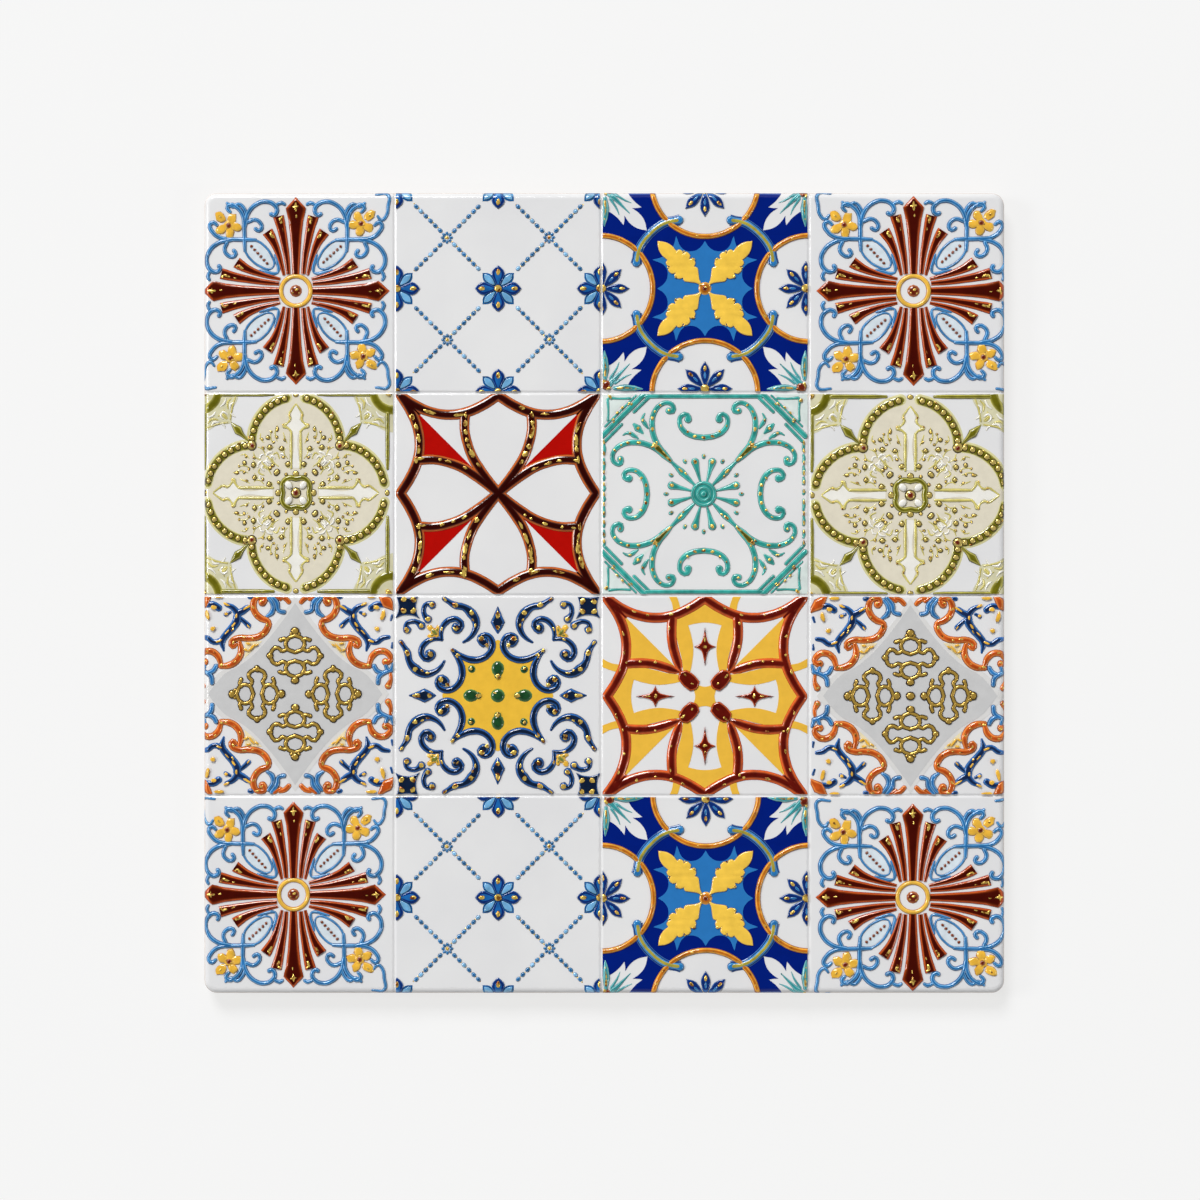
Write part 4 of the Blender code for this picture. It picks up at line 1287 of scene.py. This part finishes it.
# Iron orange: brick red where it lies thick, breaking to orange on the shoulders
set_on_face("grey_orange_scrolls", [squeezed(both_ways(orange_scroll), rise=0.32)], grey_places, coloured_glaze(
    "iron_orange_glaze", "#b84d18", "#e88a38", "#8f2c0e", spread=0.3, stops=(0.55, 0.84, 0.98)
))
blue_leaves = [
    [(2.7, 20.4, 1.3), (4.1, 20.8, 1.2), (4.5, 22.6, 1.5), (5.9, 24.5, 1.2)],
    [(7.0, 19.4, 0.9), (5.8, 20.3, 1.5), (5.5, 22.0, 1.3), (6.7, 24.0, 1.0)],
    [(20.7, 2.7, 1.3), (21.0, 4.4, 1.4), (22.4, 5.4, 1.3), (24.2, 6.0, 1.2)],
    [(19.7, 7.0, 1.3), (20.4, 5.8, 1.4), (21.9, 5.2, 1.2)],
    [(22.6, 7.2, 1.0), (23.5, 5.8, 1.4), (24.6, 7.6, 0.9)],
]
branch_body = [
    [(11.9, 21.5, 2.0), (13.2, 20.6, 2.2), (14.3, 20.0, 2.4), (14.5, 18.4, 2.7), (15.6, 16.6, 2.5),
     (17.2, 14.8, 2.3), (18.2, 13.2, 2.2), (17.8, 10.8, 0.7)],
    [(18.2, 13.4, 2.0), (20.3, 12.9, 1.7), (21.8, 13.9, 1.7), (23.4, 14.2, 1.3)],
    [(17.2, 22.3, 1.3), (15.6, 21.6, 1.8), (14.4, 20.2, 2.2)],
    [(11.6, 17.0, 1.7), (12.6, 18.0, 1.5), (13.8, 19.0, 1.2)], [(17.4, 19.8, 1.3), (16.2, 20.4, 1.0)],
    [(19.0, 21.4, 2.2), (20.6, 22.4, 2.0), (22.0, 22.2, 1.6)], [(23.9, 18.4, 0.7), (24.3, 19.6, 0.9)],
    [(24.2, 11.6, 0.9), (24.3, 12.8, 0.6)],
    [(10.8, 24.3, 1.6), (11.4, 24.2, 1.4)],
]
slim_body = [[(x, y, 0.84 * width) for x, y, width in run] for run in branch_body]
branches = levelled(squeezed(both_ways(slim_body), rise=0.36), 0.6)
# Cobalt and manganese on a thick bead: near black on the crown, bright blue on the shoulders
set_on_face("grey_navy_branches", [branches], grey_places, coloured_glaze(
    "near_black_cobalt_glaze", "#16284e", "#2a70b6", "#1c4f94", spread=0.25, stops=(0.5, 0.84, 0.992)
))
# Cobalt with a little tin: mid blue with a sky blue shoulder and a navy foot
set_on_face("grey_blue_leaves", [squeezed(both_ways(blue_leaves), rise=0.45)], grey_places, coloured_glaze(
    "leaf_cobalt_glaze", "#2a6cab", "#78b0d8", "#103674", spread=0.3, stops=(0.55, 0.84, 0.97)
))
yellow_dabs = [
    (21.9, 19.7, 2.9, 1.1, 75), (20.5, 16.3, 1.3, 1.2, 0), (17.2, 20.0, 0.9, 0.8, 0),
    (20.3, 21.6, 1.4, 1.1, 0), (19.0, 24.4, 2.6, 0.9, 0),
    (23.0, 22.8, 2.0, 0.7, 60), (10.8, 11.6, 2.4, 0.6, -50), (12.2, 11.0, 1.3, 0.6, 30),
    (11.6, 12.6, 1.2, 0.6, 10), (9.6, 12.2, 1.1, 0.5, -30),
]
for n, run in enumerate(branch_body[:4]):
    yellow_dabs += dabs_along(run[:-1], 1.5, 0.8, 0.5, 0.2 - 0.1 * n, seed=55 + n)
yellow_spots = raised(drops(spot_ways(yellow_dabs, both_ways), 0.4, seed=53), 0.46)
set_on_face("grey_yellow_dabs", [yellow_spots], grey_places, amber_glaze)
cream_patch = [
    [(8.2, 13.2), (12.6, 13.0)], [(12.6, 13.0), (12.4, 10.6), (12.8, 8.8)], [(12.8, 8.8), (10.2, 11.2), (8.2, 13.2)],
]
# Antimony yellow let down with tin: pale cream between the scrolls
set_on_face("grey_cream_patches", [filled(copied(cream_patch, both_ways), 0.14)], grey_places, flat_glaze(
    "cream_wash", "#ecdfb6", "#e3cf90", spread=0.08
))
grey_glints = [
    (10.4, 21.6, 1.1, 0.45, 60), (6.9, 17.2, 1.2, 0.6, 80), (12.6, 14.1, 1.2, 0.4, 0),
    (15.4, 12.8, 0.9, 0.5, 120), (8.3, 23.0, 0.9, 0.6, 40),
    (18.3, 7.2, 0.9, 0.6, 0), (22.6, 8.2, 0.9, 0.6, 30), (13.7, 9.8, 1.1, 0.5, 100),
    (15.6, 16.0, 1.0, 0.4, 120), (23.0, 23.0, 1.3, 0.6, 45),
    (20.0, 10.3, 0.9, 0.4, 40), (23.2, 2.0, 0.7, 0.6, 0), (9.8, 19.6, 0.8, 0.4, 70),
    (8.0, 14.9, 0.9, 0.4, -40), (10.6, 13.9, 0.8, 0.4, 0),
    (15.0, 8.0, 0.9, 0.4, -30), (17.2, 7.0, 0.8, 0.4, 0), (22.0, 10.7, 0.9, 0.4, 0), (9.4, 24.2, 0.9, 0.4, 0),
]
set_on_face(
    "grey_lustre", [raised(drops(spot_ways(grey_glints, both_ways), 0.5, seed=52), 0.5)], grey_places, gold_lustre
)


# The square with a yellow star and navy scrolls
# A flat yellow star set with green glass gems, edged and surrounded by heavy navy scrolls with gold on their ends.
blue_places = [(1, 2, -26.6, -25.6, 1.0, 1.0)]
star = [[(0, 13.9), (1.1, 13.3), (1.3, 12.0), (2.6, 9.9), (5.0, 8.9), (8.7, 9.3), (11.4, 11.4)]]
yellow_star = chained([*star, *back_over_diagonal(star)])
# Antimony yellow: level and opaque, a shade browner along its rim
set_on_face("yellow_star", [filled([yellow_star], 0.1)], blue_places, flat_glaze(
    "antimony_yellow_glaze", "#ebbb3e", "#d49a26", spread=0.05
))
scrolls = [
    [(3.5, 13.3, 2.7), (4.6, 13.9, 1.5), (3.9, 15.0, 1.4), (2.5, 15.0, 1.4), (1.5, 13.8, 1.6),
     (1.3, 12.2, 1.7), (2.3, 10.3, 1.7),
     (4.2, 9.1, 1.8), (6.4, 8.9, 1.9), (8.8, 9.7, 1.6), (11.3, 11.5, 0.8)],
    [(13.4, 24.2, 1.3), (12.2, 23.4, 1.3), (10.6, 22.5, 1.9), (8.6, 22.1, 1.8), (6.6, 20.5, 2.6),
     (5.4, 18.2, 2.1), (5.9, 15.8, 1.5),
     (7.2, 14.2, 1.1), (8.6, 13.3, 0.7)],
    [(10.3, 16.8, 3.0), (9.1, 17.5, 1.8), (9.8, 18.8, 1.5), (11.4, 19.1, 1.6), (13.2, 18.0, 1.6),
     (14.1, 16.2, 1.3), (14.0, 13.9, 0.9)],
    [(16.4, 22.6, 2.2), (17.7, 22.9, 1.2), (18.5, 21.5, 1.3), (18.3, 20.1, 1.4), (17.4, 19.0, 2.2)],
]
lozenge = [(0, 15.4, 0.3), (0, 16.8, 2.2), (0, 18.3, 3.7), (0, 19.9, 2.2), (0, 22.2, 0.3)]
corner_tips = [[(-3.1, 3.1), (-1.4, 2.35), (1.4, 2.35), (3.1, 3.1)]]
star_middles = ((22.6, 22.3), (-22.6, 22.3), (22.6, -22.3), (-22.6, -22.3))
corner_stars = [[shifted(run, x, y) for run in chained(corner_tips)] for x, y in star_middles]
# Cobalt with manganese: blue-black on the crowns, bright cobalt where it thins on the shoulders
scroll_navy = coloured_glaze(
    "scroll_cobalt_glaze", "#101f38", "#2066b4", "#0a274e", spread=0.2, rough=0.08, stops=(0.5, 0.8, 0.965)
)
set_on_face(
    "navy_scrolls",
    [squeezed(eight_ways(scrolls), rise=0.36), squeezed(four_ways([lozenge]), blunt=True, rise=0.3),
     filled(corner_stars, 0.14, bevel=0.3)],
    blue_places, scroll_navy,
)
gems = [(0, 0, 3.7, 3.6, 0)] + spot_ways([
    (0, 6.7, 4.0, 3.3, 90), (0, 5.0, 2.0, 1.9, 90), (6.6, 6.5, 2.1, 2.0, 45),
], four_ways)
# Chrome green glass: bottle green on the crown, lit leaf green lower down, smoother than the glazes round it
set_on_face("star_gems", [lowered(drops(gems), 0.44)], blue_places, coloured_glaze(
    "chrome_green_glass", "#1c4425", "#5f8f4c", "#2c3a16", spread=0.3, rough=0.04, stops=(0.4, 0.7, 0.93)
))
leaf_buds = spot_ways([
    (15.7, 15.7, 2.8, 2.0, 45), (15.0, 16.6, 2.0, 1.3, 100), (16.6, 15.0, 2.0, 1.3, -10), (16.9, 16.9, 1.8, 1.4, 45),
], four_ways)
set_on_face("star_buds", [levelled(drops(leaf_buds, 0.4, seed=63), 0.42)], blue_places, amber_glaze)
bud_hearts = spot_ways([
    (15.8, 15.8, 1.9, 1.1, 45), (15.1, 16.4, 0.9, 0.5, 100), (16.4, 15.1, 0.9, 0.5, -10),
], four_ways)
# Copper and iron dropped on the amber: olive hearts with a yellow shoulder
set_on_face("star_bud_hearts", [raised(drops(bud_hearts, 0.3), 0.3)], blue_places, coloured_glaze(
    "olive_bud_glaze", "#6f7a34", "#c3b35c", "#5a5a20", spread=0.3
))
gold_spots = [(-0.8, 0.7, 0.7, 0.5, 0)] + spot_ways([
    (0, 4.8, 1.3, 1.1, 90), (0, 20.1, 2.2, 1.1, 90), (0, 17.1, 1.3, 1.1, 90), (6.7, 6.7, 0.9, 0.8, 0),
    (21.2, 23.5, 1.5, 1.2, 45), (24.0, 23.5, 1.5, 1.2, 135), (21.2, 21.0, 1.5, 1.2, 135), (24.0, 21.0, 1.5, 1.2, 45),
    (11.3, 11.3, 1.1, 0.8, 45),
], four_ways)
gold_spots += spot_ways([
    (4.0, 14.2, 1.4, 1.3, 0), (2.7, 12.6, 1.2, 0.9, 60), (10.6, 22.6, 1.6, 1.2, 20),
    (6.6, 20.6, 1.6, 1.3, 50), (10.3, 16.8, 1.6, 1.5, 0),
    (16.4, 22.7, 1.4, 1.3, 0), (17.4, 19.1, 1.3, 1.2, 0), (5.6, 17.6, 1.3, 0.6, 100), (13.2, 24.0, 1.2, 0.7, 40),
    (14.0, 16.6, 1.0, 0.5, 110), (9.8, 10.2, 1.0, 0.5, 30), (6.2, 18.9, 1.0, 0.6, 60),
], eight_ways)
set_on_face("star_lustre", [raised(drops(gold_spots, 0.3, seed=61), 0.56)], blue_places, gold_lustre)


# The square with a scalloped star in brown and amber
# The same bold frame as on the red square in a redder brown, with amber fields, white petals between the ribs and a
# small four-point star in each.
amber_places = [(2, 2, 25.1, -25.8, 1.0, 1.0)]
amber_rib = [
    (-8.1, 19.6, 2.5), (-8.3, 16.2, 2.6), (-8.1, 13.2, 2.5), (-7.5, 10.7, 2.5), (-6.8, 8.5, 2.3), (-6.3, 7.1, 1.6),
    (-6.1, 6.5, 0.8),
]
block_outline = [
    [(-6.7, 4.3), (-6.3, 6.0), (-4.6, 6.6)], [(-4.6, 6.6), (-2.7, 5.4), (-1.3, 3.7)],
    [(-1.3, 3.7), (-2.0, 1.9), (-3.7, 1.3)], [(-3.7, 1.3), (-5.4, 2.6), (-6.7, 4.3)],
]
amber_scallop = [(x, y, 2.6) for x, y, _ in scallop]
# More iron in the manganese: a redder brown than on the red square, with a brighter rust line on the shoulders
rust_brown = coloured_glaze(
    "iron_manganese_glaze", "#5c1109", "#e0601c", "#86220c", spread=0.25, stops=(0.5, 0.86, 0.982)
)
four_point = [
    [(0, 17.2), (0.5, 14.6), (1.0, 13.3), (2.7, 12.4)], [(2.7, 12.4), (1.0, 11.5), (0.5, 10.2), (0, 7.6)],
    [(0, 7.6), (-0.5, 10.2), (-1.0, 11.5), (-2.7, 12.4)], [(-2.7, 12.4), (-1.0, 13.3), (-0.5, 14.6), (0, 17.2)],
]
set_on_face(
    "amber_frame",
    [squeezed(eight_ways([amber_scallop, amber_rib]) + four_ways([wedge]), rise=0.21),
     filled(copied(block_outline, four_ways), 0.1, bevel=0.55), filled(copied(four_point, four_ways), 0.16, bevel=0.3)],
    amber_places, rust_brown,
)
band_outline = [
    [(-7.4, 20.4), (-7.4, 17.0), (-6.6, 12.6), (-5.8, 9.4), (-5.4, 6.0)], [(-5.4, 6.0), (-3.7, 5.9)],
    [(-3.7, 5.9), (-3.2, 8.2), (-2.9, 12.0), (-3.5, 15.6), (-4.4, 18.4)], [(-4.4, 18.4), (-5.0, 21.0)],
    [(-5.0, 21.0), (-7.4, 20.4)],
]
crescent = [
    [(-4.2, 17.7), (-2.2, 18.2), (0, 18.4), (2.2, 18.2), (4.2, 17.7)], [(4.2, 17.7), (5.6, 20.8)],
    [(5.6, 20.8), (3.8, 21.9), (0, 24.3)],
    [(0, 24.3), (-3.8, 21.9), (-5.6, 20.8)], [(-5.6, 20.8), (-4.2, 17.7)],
]
outer_band = [
    [(-6.0, 21.4), (-6.4, 23.2), (-7.3, 25.6)], [(-7.3, 25.6), (-9.4, 25.6)],
    [(-9.4, 25.6), (-8.3, 23.4), (-7.9, 21.2)], [(-7.9, 21.2), (-6.0, 21.4)],
]
heart = [[(0, 2.4), (1.4, 2.7), (3.4, 4.2)], [(3.4, 4.2), (4.2, 3.4)], [(4.2, 3.4), (2.7, 1.4), (2.4, 0)]]
amber_fields = filled(copied(half_kite, both_ways) + copied(crescent, four_ways) + [chained(heart)], 0.1)
amber_bands = filled(copied(band_outline, eight_ways) + copied(outer_band, eight_ways), 0.11)
# Amber laid level: an even warm yellow, browner along its rim
set_on_face("amber_fields", [amber_fields, amber_bands], amber_places, flat_glaze(
    "flat_amber_glaze", "#ebb942", "#d39222", spread=0.04
))
amber_dabs = spot_ways([
    (-5.0, 5.4, 1.6, 0.8, 135), (-3.2, 3.2, 1.2, 0.7, 135), (0, 12.3, 1.1, 0.7, 0), (0, 14.2, 1.2, 0.35, 90),
], four_ways)
dabbed_runs = [amber_scallop[1:6], mirror_x(amber_scallop[1:6]), amber_rib[:4], mirror_x(amber_rib[:4])]
for n, run in enumerate(four_ways(dabbed_runs)):
    amber_dabs += dabs_along(run, 0.9, 3.6, 0.55, 0.5 if n % 2 else -0.5, seed=72 + n)
set_on_face("amber_lustre", [raised(drops(amber_dabs, 0.5, seed=71), 0.46)], amber_places, gold_lustre)


# The table, the light and the camera
# A plain pale sheet of opal acrylic, lit evenly from below so that nothing on it casts a hard shadow, under a large
# soft light from the top left. It is seen straight from above with a long lens.
bpy.ops.object.select_all(action="DESELECT")
bpy.ops.mesh.primitive_plane_add(size=6.0, location=(0, 0, 0))
floor = bpy.context.object
floor.name = "pale_table"
# Opal acrylic: milky all through, matt above, glowing a little
opal, shader = new_finish("lit_opal_acrylic")
shader.inputs["Base Color"].default_value = linear("#7c7c7d")
shader.inputs["Roughness"].default_value = 0.9
shader.inputs["Specular IOR Level"].default_value = 0.1
shader.inputs["Emission Color"].default_value = linear("#fffffe")
shader.inputs["Emission Strength"].default_value = 0.708
floor.data.materials.append(opal)

# A white tent with an opening above for the camera: the glaze mirrors the dark opening where it lies flat, so its
# colours stay deep, and the bright walls where it slopes
world = bpy.context.scene.world or bpy.data.worlds.new("studio")
bpy.context.scene.world = world
world.use_nodes = True
direction = add_node(world, "TexCoord")
upward = add_node(world, "SeparateXYZ", {"Vector": direction.outputs["Generated"]})
tent = add_node(world, "ValToRGB", {"Fac": upward.outputs["Z"]})
tent.color_ramp.elements[0].position = 0.72
tent.color_ramp.elements[0].color = linear("#ffffff")
tent.color_ramp.elements[1].position = 0.93
tent.color_ramp.elements[1].color = linear("#383838")
backdrop = world.node_tree.nodes["Background"]
backdrop.inputs["Strength"].default_value = 0.32
world.node_tree.links.new(tent.outputs[0], backdrop.inputs["Color"])


def soft_box(name, place, size, watts):
    """A square lamp behind white cloth, turned to the tile."""
    data = bpy.data.lights.new(name, "AREA")
    data.shape = "SQUARE"
    data.size = size
    data.energy = watts
    made = link(data)
    made.location = place
    made.rotation_euler = (-Vector(place)).to_track_quat("-Z", "Y").to_euler()


soft_box("key_soft_box", (-1.75, 4.75, 5.25), 2.6, 445.0)
soft_box("left_soft_box", (-4.6, 0.6, 3.6), 1.5, 99.0)
soft_box("right_soft_box", (4.0, -1.6, 3.2), 0.7, 20.0)

# The photograph's middle lies a little to the lower left of the tile's
camera_place = (-1.08 * MM, -1.75 * MM, 839.5 * MM)
bpy.ops.object.camera_add(location=camera_place, rotation=(0, 0, 0))
camera = bpy.context.object
camera.data.lens = 100
camera.data.sensor_width = 36
bpy.context.scene.camera = camera

for section in (round_bead, flat_rib, fine_bead):
    bpy.data.objects.remove(section)
